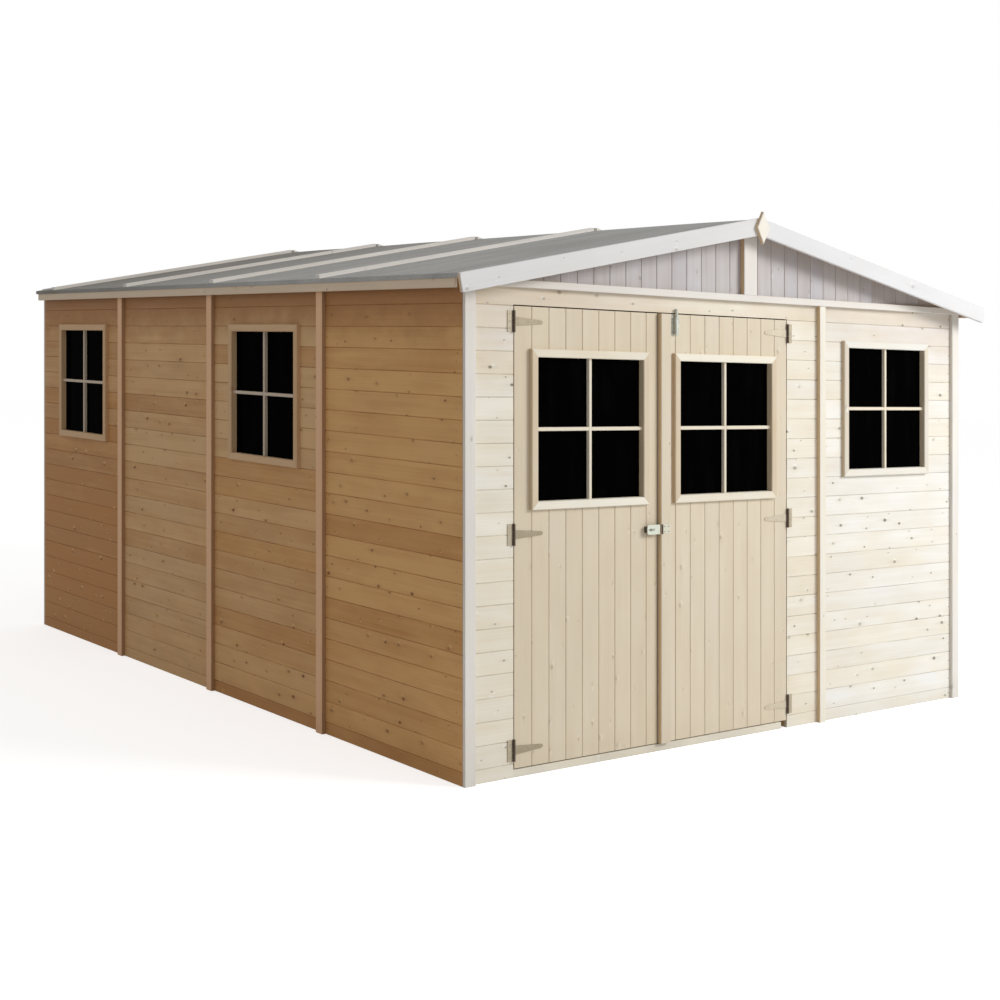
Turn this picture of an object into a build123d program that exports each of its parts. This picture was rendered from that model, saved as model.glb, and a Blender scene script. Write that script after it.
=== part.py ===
from build123d import *
import os

os.makedirs("parts", exist_ok=True)

# A wooden garden shed of panels about one metre wide, three across the front and four down each
# side, under a low pitched felt roof that reaches further at the front than at the back. +Z is up,
# the doors face -Y, and the origin lies on the ground under the middle of the overall box.
# Lengths are in millimetres.

# walls, measured over the cladding; the width is the sum of the front's panels
wall_depth = 4095.0
eave_height = 1941.0
cladding = 14.0
panel_joint = 0.6
side_panel_count = 4
last_panel_extra = 63.0

# framing behind the cladding
stud_face = 28.0
stud_depth = 45.0
frame_gap = 0.6

# roof: rise for each unit of run
roof_slope_share = 0.2009
deck_thickness = 16.0
felt_thickness = 3.0
eave_overhang = 40.0
front_overhang = 90.0
back_overhang = 26.0
fascia_thickness = 16.0
fascia_height = 36.0
# how much of the front overhang the left and the right fascia run under
fascia_front_shares = (0.0, 1.0)
roof_batten_width = 40.0
roof_batten_height = 16.0
roof_batten_first_share = 0.2442
roof_batten_pitch_share = 0.23565
roof_batten_count = 4
roof_batten_ridge_gap = 10.0
roof_batten_eave_gap = 10.0
ridge_beam_width = 45.0
ridge_beam_height = 95.0
purlin_width = 45.0
purlin_height = 70.0
purlin_run_share = 0.5

# gable ends
barge_depth = 75.0
barge_thickness = 16.0
barge_lift = 5.0
front_barge_reach = 54.0
back_barge_reach = 5.0
barge_round = 9.0
finial_width = 77.0
finial_height = 143.0
finial_thickness = 16.0
finial_rise = 26.0
tie_height = 30.0
tie_proud = 25.0
gable_post_x = 22.0
gable_post_width = 82.0
gable_post_proud = 25.0

# trim over the panel joints and corners
corner_trim_width = 52.0
corner_trim_thickness = 16.0
end_batten_width = 40.0
side_batten_width = 50.0
batten_thickness = 20.0

# doorway and the two leaves
doorway_corner_gap = 246.0
doorway_joint_gap = 223.0
head_height = 97.0
sill_height = 30.0
sill_depth = 45.0
sill_end_gap = 39.0
door_clearance = 5.0
leaf_gap = 6.0
leaf_thickness = 18.0
ledge_thickness = 20.0
ledge_height = 95.0
ledge_inset = 25.0
lower_ledge_rise = 60.0
middle_ledge_gap = 30.0
upper_ledge_gap = 45.0
cover_strip_width = 59.0
cover_strip_thickness = 20.0

# windows: size of the glass that shows, and the wood left on each side of its casing
pane_width = 566.0
pane_height = 568.0
door_pane_drop = 203.0
wall_pane_drop = 216.0
left_hinge_margin = 76.0
left_free_margin = 58.0
right_strip_margin = 26.0
right_hinge_margin = 80.0
window_joint_margin = 156.0
window_corner_margin = 244.0
side_window_shares = (1.5, 3.5)
casing_width = 33.0
casing_proud = 18.0
lining = 18.0
wall_lining_reach = 45.0
leaf_lining_reach = 30.0
glass_thickness = 4.0
glass_set_back = 12.0
glass_groove = 6.0
glass_fit = 0.3

# tee hinges: the pin stands in front of the wall face
hinge_foot_gap = 72.0
hinge_head_gap = 60.0
middle_hinge_drop = 93.0
hinge_metal = 3.0
pin_stand = 6.0
pin_radius = 2.5
pin_fit = 0.25
pin_head = 1.5
knuckle_radius = 5.5
knuckle_length = 26.0
knuckle_gap = 1.0
butt_width = 30.0
butt_height = 84.0
butt_notch = 7.0
strap_length = 140.0
strap_neck = 7.0
strap_shoulder = 9.0
strap_root = 35.0
strap_tip = 15.0

# hasp and bolt
hasp_drop = 105.0
hasp_metal = 2.5
hasp_height = 40.0
hasp_plate_width = 46.0
hasp_flap_length = 71.0
hasp_edge_gap = 4.0
hasp_slot_width = 36.0
hasp_slot_height = 9.0
hasp_slot_inset = 24.0
hasp_corner = 10.0
hasp_knuckle_radius = 3.5
staple_wire = 2.5
staple_radius = 8.0
staple_base_width = 44.0
staple_base_height = 26.0
bolt_rise = 17.0
bolt_length = 104.0
bolt_radius = 6.0
bolt_stand = 3.0
bolt_plate_width = 44.0
bolt_plate_height = 80.0
bolt_plate_metal = 2.0
bolt_plate_gap = 18.0
bolt_plate_drop = 88.0
bolt_case_width = 20.0
bolt_case_end_gap = 4.0
bolt_case_round = 5.0
bolt_knob_radius = 4.0
bolt_knob_length = 9.0
bolt_knob_share = 0.7

# how far a cut runs past the wood it cuts
overrun = 10.0

# values that follow from the sizes above
casing_span = pane_width + 2 * casing_width
left_leaf_width = left_hinge_margin + casing_span + left_free_margin
right_leaf_width = cover_strip_width + right_strip_margin + casing_span + right_hinge_margin
doorway_width = left_leaf_width + leaf_gap + right_leaf_width + 2 * door_clearance
window_panel_width = window_joint_margin + casing_span + window_corner_margin
wall_width = doorway_corner_gap + doorway_width + doorway_joint_gap + window_panel_width
half_width = wall_width / 2
inner_half_width = half_width - cladding
frame_half_width = inner_half_width - stud_depth
front_reach = front_overhang + barge_thickness + finial_thickness
back_reach = back_overhang + barge_thickness
overall_depth = front_reach + wall_depth + back_reach
front_face = front_reach - overall_depth / 2
back_face = front_face + wall_depth
inner_front = front_face + cladding
inner_back = back_face - cladding
frame_front = inner_front + stud_depth
frame_back = inner_back - stud_depth
side_module = (wall_depth - last_panel_extra) / side_panel_count
front_joint_x = half_width - window_panel_width
side_joints = [front_face + count * side_module for count in range(side_panel_count)] + [back_face]
end_joints = (-half_width, -front_joint_x, front_joint_x, half_width)
end_faces = ((front_face, -1), (back_face, 1))
slope_stretch = (1 + roof_slope_share**2) ** 0.5
roof_front = front_face - front_overhang
roof_back = back_face + back_overhang
deck_edge = half_width + eave_overhang
felt_edge = deck_edge + felt_thickness
tie_base = eave_height - tie_height
doorway_left = doorway_corner_gap - half_width
doorway_right = doorway_left + doorway_width
doorway_height = eave_height - head_height
leaf_base = sill_height + door_clearance
leaf_top = doorway_height - door_clearance
left_leaf_edge = doorway_left + door_clearance
left_leaf_free = left_leaf_edge + left_leaf_width
right_leaf_edge = doorway_right - door_clearance
right_leaf_free = left_leaf_free + leaf_gap
left_leaf_pane_x = left_leaf_edge + left_hinge_margin + casing_span / 2
right_leaf_pane_x = right_leaf_edge - right_hinge_margin - casing_span / 2
front_window_x = front_joint_x + window_joint_margin + casing_span / 2
door_pane_top = doorway_height - door_pane_drop
door_pane_base = door_pane_top - pane_height
door_pane_level = door_pane_base + pane_height / 2
wall_pane_level = eave_height - wall_pane_drop - pane_height / 2
lower_ledge_base = leaf_base + lower_ledge_rise
middle_ledge_base = door_pane_base - lining - middle_ledge_gap - ledge_height
upper_ledge_base = door_pane_top + lining + upper_ledge_gap
lower_hinge_level = leaf_base + hinge_foot_gap
upper_hinge_level = leaf_top - hinge_head_gap
middle_hinge_level = door_pane_base - casing_width - middle_hinge_drop
hinge_levels = (lower_hinge_level, middle_hinge_level, upper_hinge_level)
hasp_level = door_pane_base - casing_width - hasp_drop
bolt_top = doorway_height + bolt_rise
bolt_plate_base = leaf_top - bolt_plate_drop
opening_width = pane_width + 2 * lining
opening_height = pane_height + 2 * lining
side_window_places = [front_face + side_module * share for share in side_window_shares]
plate_top = eave_height - stud_face


def soffit(x):
    """Level of the roof deck's underside at a distance from the middle."""
    return eave_height + (half_width - abs(x)) * roof_slope_share


def deck_top(x):
    """Level of the roof deck's upper side."""
    return soffit(x) + deck_thickness * slope_stretch


def felt_top(x):
    """Level of the felt's upper side."""
    return deck_top(x) + felt_thickness * slope_stretch


def block(x_ends, y_ends, z_ends, mode=Mode.ADD):
    """Add or cut a square block between two levels on each axis."""
    middle = [sum(ends) / 2 for ends in (x_ends, y_ends, z_ends)]
    size = [max(ends) - min(ends) for ends in (x_ends, y_ends, z_ends)]
    with Locations(tuple(middle)):
        Box(*size, mode=mode)


def run_along_depth(outline, y_ends):
    """Add a straight piece with an outline in X and Z that runs between two places along Y."""
    with BuildSketch(Plane.XZ.offset(-min(y_ends))) as section:
        with BuildLine():
            Polyline(*outline, close=True)
        make_face()
    extrude(section.sketch, amount=min(y_ends) - max(y_ends))


def face_plane(side, place, level):
    """Plane on an outer wall face, looking outward, centred at a place and level."""
    if side == "front":
        return Plane(origin=(place, front_face, level), x_dir=(1, 0, 0), z_dir=(0, -1, 0))
    if side == "left":
        return Plane(origin=(-half_width, place, level), x_dir=(0, -1, 0), z_dir=(-1, 0, 0))
    return Plane(origin=(half_width, place, level), x_dir=(0, 1, 0), z_dir=(1, 0, 0))


def panel_on(face, width, height, near, far, mode=Mode.ADD):
    """Add or cut a rectangle on a face plane between two distances along its outward normal."""
    with BuildSketch(face.offset(near)) as outline:
        Rectangle(width, height)
    extrude(outline.sketch, amount=far - near, mode=mode)


def cut_window(face, thickness):
    """Cut the opening that a window lining fills."""
    panel_on(face, opening_width, opening_height, overrun, -thickness - overrun, Mode.SUBTRACT)


def window_frame(face, reach):
    """Add a casing planted on the face, its lining through the wall and the groove for the glass."""
    panel_on(face, pane_width + 2 * casing_width, pane_height + 2 * casing_width, 0, casing_proud)
    panel_on(face, opening_width, opening_height, 0, -reach)
    panel_on(face, pane_width, pane_height, casing_proud + overrun, -reach - overrun, Mode.SUBTRACT)
    slot_front = -glass_set_back + glass_fit
    slot_back = -glass_set_back - glass_thickness - glass_fit
    slot_width = pane_width + 2 * glass_groove
    slot_height = pane_height + 2 * glass_groove
    panel_on(face, slot_width, slot_height, slot_front, slot_back, Mode.SUBTRACT)


def window_glass(face):
    """Add the pane that stands in the lining's groove."""
    glass_width = pane_width + 2 * (glass_groove - glass_fit)
    glass_height = pane_height + 2 * (glass_groove - glass_fit)
    panel_on(face, glass_width, glass_height, -glass_set_back, -glass_set_back - glass_thickness)


def save(piece, name):
    """Label a finished piece and write it."""
    piece.part.label = name
    export_step(piece.part, "parts/" + name + ".step")


# side walls: four panels each, bevelled at the top to the roof, windows in the second and fourth
def side_wall_panels(hand):
    """Add the four cladding panels of one side wall."""
    outer = hand * half_width
    inner = hand * inner_half_width
    outline = [(outer, 0), (inner, 0), (inner, soffit(inner)), (outer, soffit(outer))]
    for start, end in zip(side_joints, side_joints[1:]):
        run_along_depth(outline, (start + panel_joint / 2, end - panel_joint / 2))
    for place in side_window_places:
        cut_window(face_plane("left" if hand < 0 else "right", place, wall_pane_level), cladding)


with BuildPart() as left_wall_panels:
    side_wall_panels(-1)
save(left_wall_panels, "left_wall_panels")

with BuildPart() as right_wall_panels:
    side_wall_panels(1)
save(right_wall_panels, "right_wall_panels")

# back wall: three plain panels between the side walls
with BuildPart() as back_wall_panels:
    for near, far in zip(end_joints, end_joints[1:]):
        start = max(near + panel_joint / 2, -inner_half_width)
        end = min(far - panel_joint / 2, inner_half_width)
        block((start, end), (inner_back, back_face), (0, eave_height))
save(back_wall_panels, "back_wall_panels")

# front wall: pieces beside and over the doorway, and the window panel on the right
front_faces = (front_face, inner_front)

with BuildPart() as front_wall_left:
    block((-inner_half_width, doorway_left), front_faces, (0, eave_height))
save(front_wall_left, "front_wall_left")

with BuildPart() as front_wall_right:
    block((doorway_right, front_joint_x - panel_joint / 2), front_faces, (0, eave_height))
save(front_wall_right, "front_wall_right")

with BuildPart() as front_wall_head:
    block((doorway_left, doorway_right), front_faces, (doorway_height, eave_height))
save(front_wall_head, "front_wall_head")

with BuildPart() as front_window_panel:
    block((front_joint_x + panel_joint / 2, inner_half_width), front_faces, (0, eave_height))
    cut_window(face_plane("front", front_window_x, wall_pane_level), cladding)
save(front_window_panel, "front_window_panel")

with BuildPart() as door_sill:
    sill_ends = (doorway_left, doorway_right - sill_end_gap)
    block(sill_ends, (front_face, front_face + sill_depth), (0, sill_height))
save(door_sill, "door_sill")

# trim: corner boards on the front and back faces, cover battens over the panel joints
with BuildPart() as corner_trims:
    for hand in (-1, 1):
        across = (hand * half_width, hand * (half_width - corner_trim_width))
        for face, way in end_faces:
            block(across, (face, face + way * corner_trim_thickness), (0, tie_base))
save(corner_trims, "corner_trims")

with BuildPart() as front_cover_batten:
    across = (front_joint_x - end_batten_width / 2, front_joint_x + end_batten_width / 2)
    block(across, (front_face - batten_thickness, front_face), (0, tie_base))
save(front_cover_batten, "front_cover_batten")

with BuildPart() as back_cover_battens:
    for middle in end_joints[1:-1]:
        across = (middle - end_batten_width / 2, middle + end_batten_width / 2)
        block(across, (back_face, back_face + batten_thickness), (0, tie_base))
save(back_cover_battens, "back_cover_battens")

with BuildPart() as side_cover_battens:
    for hand in (-1, 1):
        inner = hand * half_width
        outer = hand * (half_width + batten_thickness)
        outline = [(inner, 0), (outer, 0), (outer, soffit(outer)), (inner, soffit(inner))]
        for middle in side_joints[1:-1]:
            ends = (middle - side_batten_width / 2, middle + side_batten_width / 2)
            run_along_depth(outline, ends)
save(side_cover_battens, "side_cover_battens")

# gable ends: tie beam over the panels, boarded triangle and a centre post under the roof
with BuildPart() as tie_beams:
    for face, way in end_faces:
        block((-half_width, half_width), (face, face + way * tie_proud), (tie_base, eave_height))
save(tie_beams, "tie_beams")

gable_outline = [
    (-inner_half_width, eave_height),
    (inner_half_width, eave_height),
    (inner_half_width, soffit(inner_half_width)),
    (0, soffit(0)),
    (-inner_half_width, soffit(inner_half_width)),
]

with BuildPart() as front_gable:
    run_along_depth(gable_outline, front_faces)
save(front_gable, "front_gable")

with BuildPart() as back_gable:
    run_along_depth(gable_outline, (inner_back, back_face))
save(back_gable, "back_gable")

with BuildPart() as gable_posts:
    post_left = gable_post_x - gable_post_width / 2
    post_right = gable_post_x + gable_post_width / 2
    post_outline = [
        (post_left, eave_height),
        (post_right, eave_height),
        (post_right, soffit(post_right)),
        (0, soffit(0)),
        (post_left, soffit(post_left)),
    ]
    for face, way in end_faces:
        run_along_depth(post_outline, (face, face + way * gable_post_proud))
save(gable_posts, "gable_posts")

# roof: two deck slabs, felt folded over the ridge and turned down at the eaves, battens up the
# slopes and a fascia hung under each eave
roof_ends = (roof_front, roof_back)


def deck_slab(hand):
    """Add one slope of the roof deck."""
    edge = hand * deck_edge
    outline = [(0, soffit(0)), (edge, soffit(edge)), (edge, deck_top(edge)), (0, deck_top(0))]
    run_along_depth(outline, roof_ends)


with BuildPart() as left_roof_deck:
    deck_slab(-1)
save(left_roof_deck, "left_roof_deck")

with BuildPart() as right_roof_deck:
    deck_slab(1)
save(right_roof_deck, "right_roof_deck")

with BuildPart() as roof_felt:
    lip_base = soffit(deck_edge)
    felt_outline = [
        (-felt_edge, lip_base),
        (-deck_edge, lip_base),
        (-deck_edge, deck_top(deck_edge)),
        (0, deck_top(0)),
        (deck_edge, deck_top(deck_edge)),
        (deck_edge, lip_base),
        (felt_edge, lip_base),
        (felt_edge, felt_top(felt_edge)),
        (0, felt_top(0)),
        (-felt_edge, felt_top(felt_edge)),
    ]
    run_along_depth(felt_outline, roof_ends)
save(roof_felt, "roof_felt")

with BuildPart() as roof_battens:
    batten_lift = roof_batten_height * slope_stretch
    for hand in (-1, 1):
        high = hand * roof_batten_ridge_gap
        low = hand * (felt_edge - roof_batten_eave_gap)
        outline = [
            (high, felt_top(high)),
            (low, felt_top(low)),
            (low, felt_top(low) + batten_lift),
            (high, felt_top(high) + batten_lift),
        ]
        for count in range(roof_batten_count):
            middle = front_face + wall_depth * (roof_batten_first_share + count * roof_batten_pitch_share)
            run_along_depth(outline, (middle - roof_batten_width / 2, middle + roof_batten_width / 2))
save(roof_battens, "roof_battens")

with BuildPart() as fascias:
    fascia_base = soffit(deck_edge) - fascia_height
    for hand, reach_share in zip((-1, 1), fascia_front_shares):
        inner = hand * (deck_edge - fascia_thickness)
        outer = hand * deck_edge
        outline = [
            (inner, fascia_base),
            (outer, fascia_base),
            (outer, soffit(outer)),
            (inner, soffit(inner)),
        ]
        run_along_depth(outline, (front_face - front_overhang * reach_share, back_face))
save(fascias, "fascias")


# barge boards: cut square with rounded corners at the eave and plumb where they meet at the ridge
def barge_pair(hand):
    """Add the front and back barge boards of one slope."""
    lift = barge_lift * slope_stretch
    drop = barge_depth * slope_stretch
    front_toe = deck_edge + front_barge_reach
    back_toe = half_width + back_barge_reach
    for near, reach in ((roof_front - barge_thickness, front_toe), (roof_back, back_toe)):
        toe = hand * reach
        heel = toe - hand * barge_depth * roof_slope_share / slope_stretch
        toe_level = felt_top(toe) + lift
        heel_level = toe_level - barge_depth / slope_stretch
        with BuildSketch(Plane.XZ.offset(-near)) as board:
            with BuildLine():
                Polyline(
                    (0, felt_top(0) + lift),
                    (toe, toe_level),
                    (heel, heel_level),
                    (0, felt_top(0) + lift - drop),
                    close=True,
                )
            make_face()
            corners = board.vertices().sort_by(Axis.X)
            fillet(corners[:2] if hand < 0 else corners[-2:], barge_round)
        extrude(board.sketch, amount=-barge_thickness)


with BuildPart() as left_barge_boards:
    barge_pair(-1)
save(left_barge_boards, "left_barge_boards")

with BuildPart() as right_barge_boards:
    barge_pair(1)
save(right_barge_boards, "right_barge_boards")

with BuildPart() as finial:
    finial_top = felt_top(0) + barge_lift * slope_stretch + finial_rise
    finial_outline = [
        (0, finial_top),
        (finial_width / 2, finial_top - finial_height / 2),
        (0, finial_top - finial_height),
        (-finial_width / 2, finial_top - finial_height / 2),
    ]
    barge_face = roof_front - barge_thickness
    run_along_depth(finial_outline, (barge_face - finial_thickness, barge_face))
save(finial, "finial")

# roof timbers inside
room_ends = (inner_front, inner_back)

with BuildPart() as ridge_beam:
    half_beam = ridge_beam_width / 2
    beam_base = soffit(0) - ridge_beam_height
    beam_outline = [
        (-half_beam, beam_base),
        (half_beam, beam_base),
        (half_beam, soffit(half_beam)),
        (0, soffit(0)),
        (-half_beam, soffit(half_beam)),
    ]
    run_along_depth(beam_outline, room_ends)
save(ridge_beam, "ridge_beam")

with BuildPart() as roof_purlins:
    for hand in (-1, 1):
        high = hand * (half_width * purlin_run_share - purlin_width / 2)
        low = hand * (half_width * purlin_run_share + purlin_width / 2)
        purlin_base = soffit(low) - purlin_height
        outline = [(high, purlin_base), (low, purlin_base), (low, soffit(low)), (high, soffit(high))]
        run_along_depth(outline, room_ends)
save(roof_purlins, "roof_purlins")

# wall framing inside: plates on the ground and under the roof, studs between them
with BuildPart() as sole_plates:
    for hand in (-1, 1):
        block((hand * inner_half_width, hand * frame_half_width), room_ends, (0, stud_face))
    back_run = (-frame_half_width + frame_gap, frame_half_width - frame_gap)
    block(back_run, (frame_back, inner_back), (0, stud_face))
    front_line = (inner_front, frame_front)
    block((-frame_half_width + frame_gap, doorway_left - frame_gap), front_line, (0, stud_face))
    block((doorway_right + frame_gap, frame_half_width - frame_gap), front_line, (0, stud_face))
save(sole_plates, "sole_plates")

with BuildPart() as top_plates:
    side_plate_base = soffit(inner_half_width) - stud_face
    for hand in (-1, 1):
        outer = hand * inner_half_width
        inner = hand * frame_half_width
        outline = [
            (outer, side_plate_base),
            (inner, side_plate_base),
            (inner, soffit(inner)),
            (outer, soffit(outer)),
        ]
        run_along_depth(outline, room_ends)
    for line in (front_line, (frame_back, inner_back)):
        block(back_run, line, (plate_top, eave_height))
save(top_plates, "top_plates")

with BuildPart() as wall_studs:
    # side walls: a stud at each panel edge and beside each window
    side_studs = []
    for near, far in zip(side_joints, side_joints[1:]):
        start = max(near + frame_gap, inner_front)
        end = min(far - frame_gap, inner_back)
        side_studs += [(start, start + stud_face), (end - stud_face, end)]
    for place in side_window_places:
        side_studs.append((place - opening_width / 2 - stud_face, place - opening_width / 2))
        side_studs.append((place + opening_width / 2, place + opening_width / 2 + stud_face))
    for hand in (-1, 1):
        for run in side_studs:
            line = (hand * inner_half_width, hand * frame_half_width)
            block(line, run, (stud_face, side_plate_base))
    # back wall: a stud at each panel edge
    for near, far in zip(end_joints, end_joints[1:]):
        start = max(near, -frame_half_width) + frame_gap
        end = min(far, frame_half_width) - frame_gap
        for run in ((start, start + stud_face), (end - stud_face, end)):
            block(run, (frame_back, inner_back), (stud_face, plate_top))
    # front wall: corners, door jambs, the panel joint and beside the window
    window_left = front_window_x - opening_width / 2
    window_right = front_window_x + opening_width / 2
    front_studs = [
        (-frame_half_width + frame_gap, -frame_half_width + frame_gap + stud_face),
        (doorway_left - frame_gap - stud_face, doorway_left - frame_gap),
        (doorway_right + frame_gap, doorway_right + frame_gap + stud_face),
        (front_joint_x - frame_gap - stud_face, front_joint_x - frame_gap),
        (front_joint_x + frame_gap, front_joint_x + frame_gap + stud_face),
        (window_left - stud_face, window_left),
        (window_right, window_right + stud_face),
        (frame_half_width - frame_gap - stud_face, frame_half_width - frame_gap),
    ]
    for run in front_studs:
        block(run, front_line, (stud_face, plate_top))
save(wall_studs, "wall_studs")

# windows in the walls
with BuildPart() as left_window_frames:
    for place in side_window_places:
        window_frame(face_plane("left", place, wall_pane_level), wall_lining_reach)
save(left_window_frames, "left_window_frames")

with BuildPart() as right_window_frames:
    for place in side_window_places:
        window_frame(face_plane("right", place, wall_pane_level), wall_lining_reach)
save(right_window_frames, "right_window_frames")

with BuildPart() as front_window_frame:
    window_frame(face_plane("front", front_window_x, wall_pane_level), wall_lining_reach)
save(front_window_frame, "front_window_frame")

with BuildPart() as wall_window_glass:
    window_glass(face_plane("front", front_window_x, wall_pane_level))
    for place in side_window_places:
        window_glass(face_plane("left", place, wall_pane_level))
        window_glass(face_plane("right", place, wall_pane_level))
save(wall_window_glass, "wall_window_glass")


# doors: boarded leaves flush with the wall, three ledges on the inside, a window in the upper half
def door_leaf(hinge_edge, free_edge, pane_x):
    """Add one leaf with its ledges and window opening."""
    inner_face = front_face + leaf_thickness
    block((hinge_edge, free_edge), (front_face, inner_face), (leaf_base, leaf_top))
    ledge_ends = (min(hinge_edge, free_edge) + ledge_inset, max(hinge_edge, free_edge) - ledge_inset)
    for base in (lower_ledge_base, middle_ledge_base, upper_ledge_base):
        block(ledge_ends, (inner_face, inner_face + ledge_thickness), (base, base + ledge_height))
    cut_window(face_plane("front", pane_x, door_pane_level), leaf_thickness)


with BuildPart() as left_door:
    door_leaf(left_leaf_edge, left_leaf_free, left_leaf_pane_x)
save(left_door, "left_door")

with BuildPart() as right_door:
    door_leaf(right_leaf_edge, right_leaf_free, right_leaf_pane_x)
save(right_door, "right_door")

with BuildPart() as left_door_window_frame:
    window_frame(face_plane("front", left_leaf_pane_x, door_pane_level), leaf_lining_reach)
save(left_door_window_frame, "left_door_window_frame")

with BuildPart() as right_door_window_frame:
    window_frame(face_plane("front", right_leaf_pane_x, door_pane_level), leaf_lining_reach)
save(right_door_window_frame, "right_door_window_frame")

with BuildPart() as left_door_glass:
    window_glass(face_plane("front", left_leaf_pane_x, door_pane_level))
save(left_door_glass, "left_door_glass")

with BuildPart() as right_door_glass:
    window_glass(face_plane("front", right_leaf_pane_x, door_pane_level))
save(right_door_glass, "right_door_glass")

with BuildPart() as door_cover_strip:
    across = (right_leaf_free, right_leaf_free + cover_strip_width)
    block(across, (front_face - cover_strip_thickness, front_face), (leaf_base, leaf_top))
save(door_cover_strip, "door_cover_strip")

# tee hinges: fixed knuckles and pin on the wall plate, one moving knuckle on the tapered strap
pin_y = front_face - pin_stand
metal_faces = (front_face - hinge_metal, front_face)


def barrel(x, z_ends, radius, mode=Mode.ADD):
    """Add or cut a round bar along a hinge pin."""
    with BuildSketch(Plane.XY.offset(min(z_ends))) as section:
        with Locations((x, pin_y)):
            Circle(radius)
    extrude(section.sketch, amount=max(z_ends) - min(z_ends), mode=mode)


def hinge_plate(x, level, hand):
    """Add one wall plate; hand is the way from the pin to the leaf."""
    half_plate = butt_height / 2
    fixed_start = knuckle_length / 2 + knuckle_gap
    plate_ends = (level - half_plate, level + half_plate)
    block((x - hand * butt_width, x - hand * butt_notch), metal_faces, plate_ends)
    for end in (-1, 1):
        run = (level + end * fixed_start, level + end * half_plate)
        block((x - hand * butt_width, x), metal_faces, run)
        barrel(x, run, knuckle_radius)
    barrel(x, (level - half_plate - pin_head, level + half_plate + pin_head), pin_radius)


def hinge_strap(x, level, hand):
    """Add one strap: bored knuckle, shoulder and a taper to a round tip."""
    half_knuckle = knuckle_length / 2
    with BuildSketch(Plane.XZ.offset(-front_face)) as strap:
        with BuildLine():
            Polyline(
                (x, level - half_knuckle),
                (x + hand * strap_neck, level - half_knuckle),
                (x + hand * strap_shoulder, level - strap_root / 2),
                (x + hand * strap_length, level - strap_tip / 2),
                (x + hand * strap_length, level + strap_tip / 2),
                (x + hand * strap_shoulder, level + strap_root / 2),
                (x + hand * strap_neck, level + half_knuckle),
                (x, level + half_knuckle),
                close=True,
            )
        make_face()
        with Locations((x + hand * strap_length, level)):
            Circle(strap_tip / 2)
    extrude(strap.sketch, amount=hinge_metal)
    barrel(x, (level - half_knuckle, level + half_knuckle), knuckle_radius)
    bore_ends = (level - half_knuckle - overrun, level + half_knuckle + overrun)
    barrel(x, bore_ends, pin_radius + pin_fit, Mode.SUBTRACT)


with BuildPart() as hinge_plates:
    for level in hinge_levels:
        hinge_plate(doorway_left, level, 1)
        hinge_plate(doorway_right, level, -1)
save(hinge_plates, "hinge_plates")

with BuildPart() as left_hinge_straps:
    for level in hinge_levels:
        hinge_strap(doorway_left, level, 1)
save(left_hinge_straps, "left_hinge_straps")

with BuildPart() as right_hinge_straps:
    for level in hinge_levels:
        hinge_strap(doorway_right, level, -1)
save(right_hinge_straps, "right_hinge_straps")

# hasp: slotted flap on a staple block on the left leaf, level with the hinge plate on the right
# leaf's cover strip
hasp_levels = (hasp_level - hasp_height / 2, hasp_level + hasp_height / 2)

with BuildPart() as hasp_flap:
    strip_face = front_face - cover_strip_thickness
    flap_end = left_leaf_free - hasp_edge_gap
    flap_middle = flap_end - hasp_flap_length / 2
    slot_x = flap_end - hasp_flap_length + hasp_slot_inset
    base_ends = (slot_x - staple_base_width / 2, slot_x + staple_base_width / 2)
    base_levels = (hasp_level - staple_base_height / 2, hasp_level + staple_base_height / 2)
    block(base_ends, (strip_face, front_face), base_levels)
    with BuildSketch(Plane.XZ.offset(-strip_face)) as flap:
        with Locations((flap_middle, hasp_level)):
            Rectangle(hasp_flap_length, hasp_height)
        fillet(flap.vertices().sort_by(Axis.X)[:2], hasp_corner)
        with Locations((slot_x, hasp_level)):
            Rectangle(hasp_slot_width, hasp_slot_height, mode=Mode.SUBTRACT)
    extrude(flap.sketch, amount=hasp_metal)
    with BuildSketch(Plane.XZ.offset(-strip_face)) as wire:
        with Locations((slot_x + staple_radius, hasp_level)):
            Circle(staple_wire)
    revolve(wire.sketch, Axis((slot_x, strip_face, hasp_level), (0, 0, -1)), 180)
save(hasp_flap, "hasp_flap")

with BuildPart() as hasp_plate:
    plate_edge = right_leaf_free + hasp_edge_gap
    block((plate_edge, plate_edge + hasp_plate_width), (strip_face - hasp_metal, strip_face), hasp_levels)
    with BuildSketch(Plane.XY.offset(min(hasp_levels))) as hasp_knuckle:
        with Locations((plate_edge, strip_face - hasp_knuckle_radius)):
            Circle(hasp_knuckle_radius)
    extrude(hasp_knuckle.sketch, amount=hasp_height)
save(hasp_plate, "hasp_plate")

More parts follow.
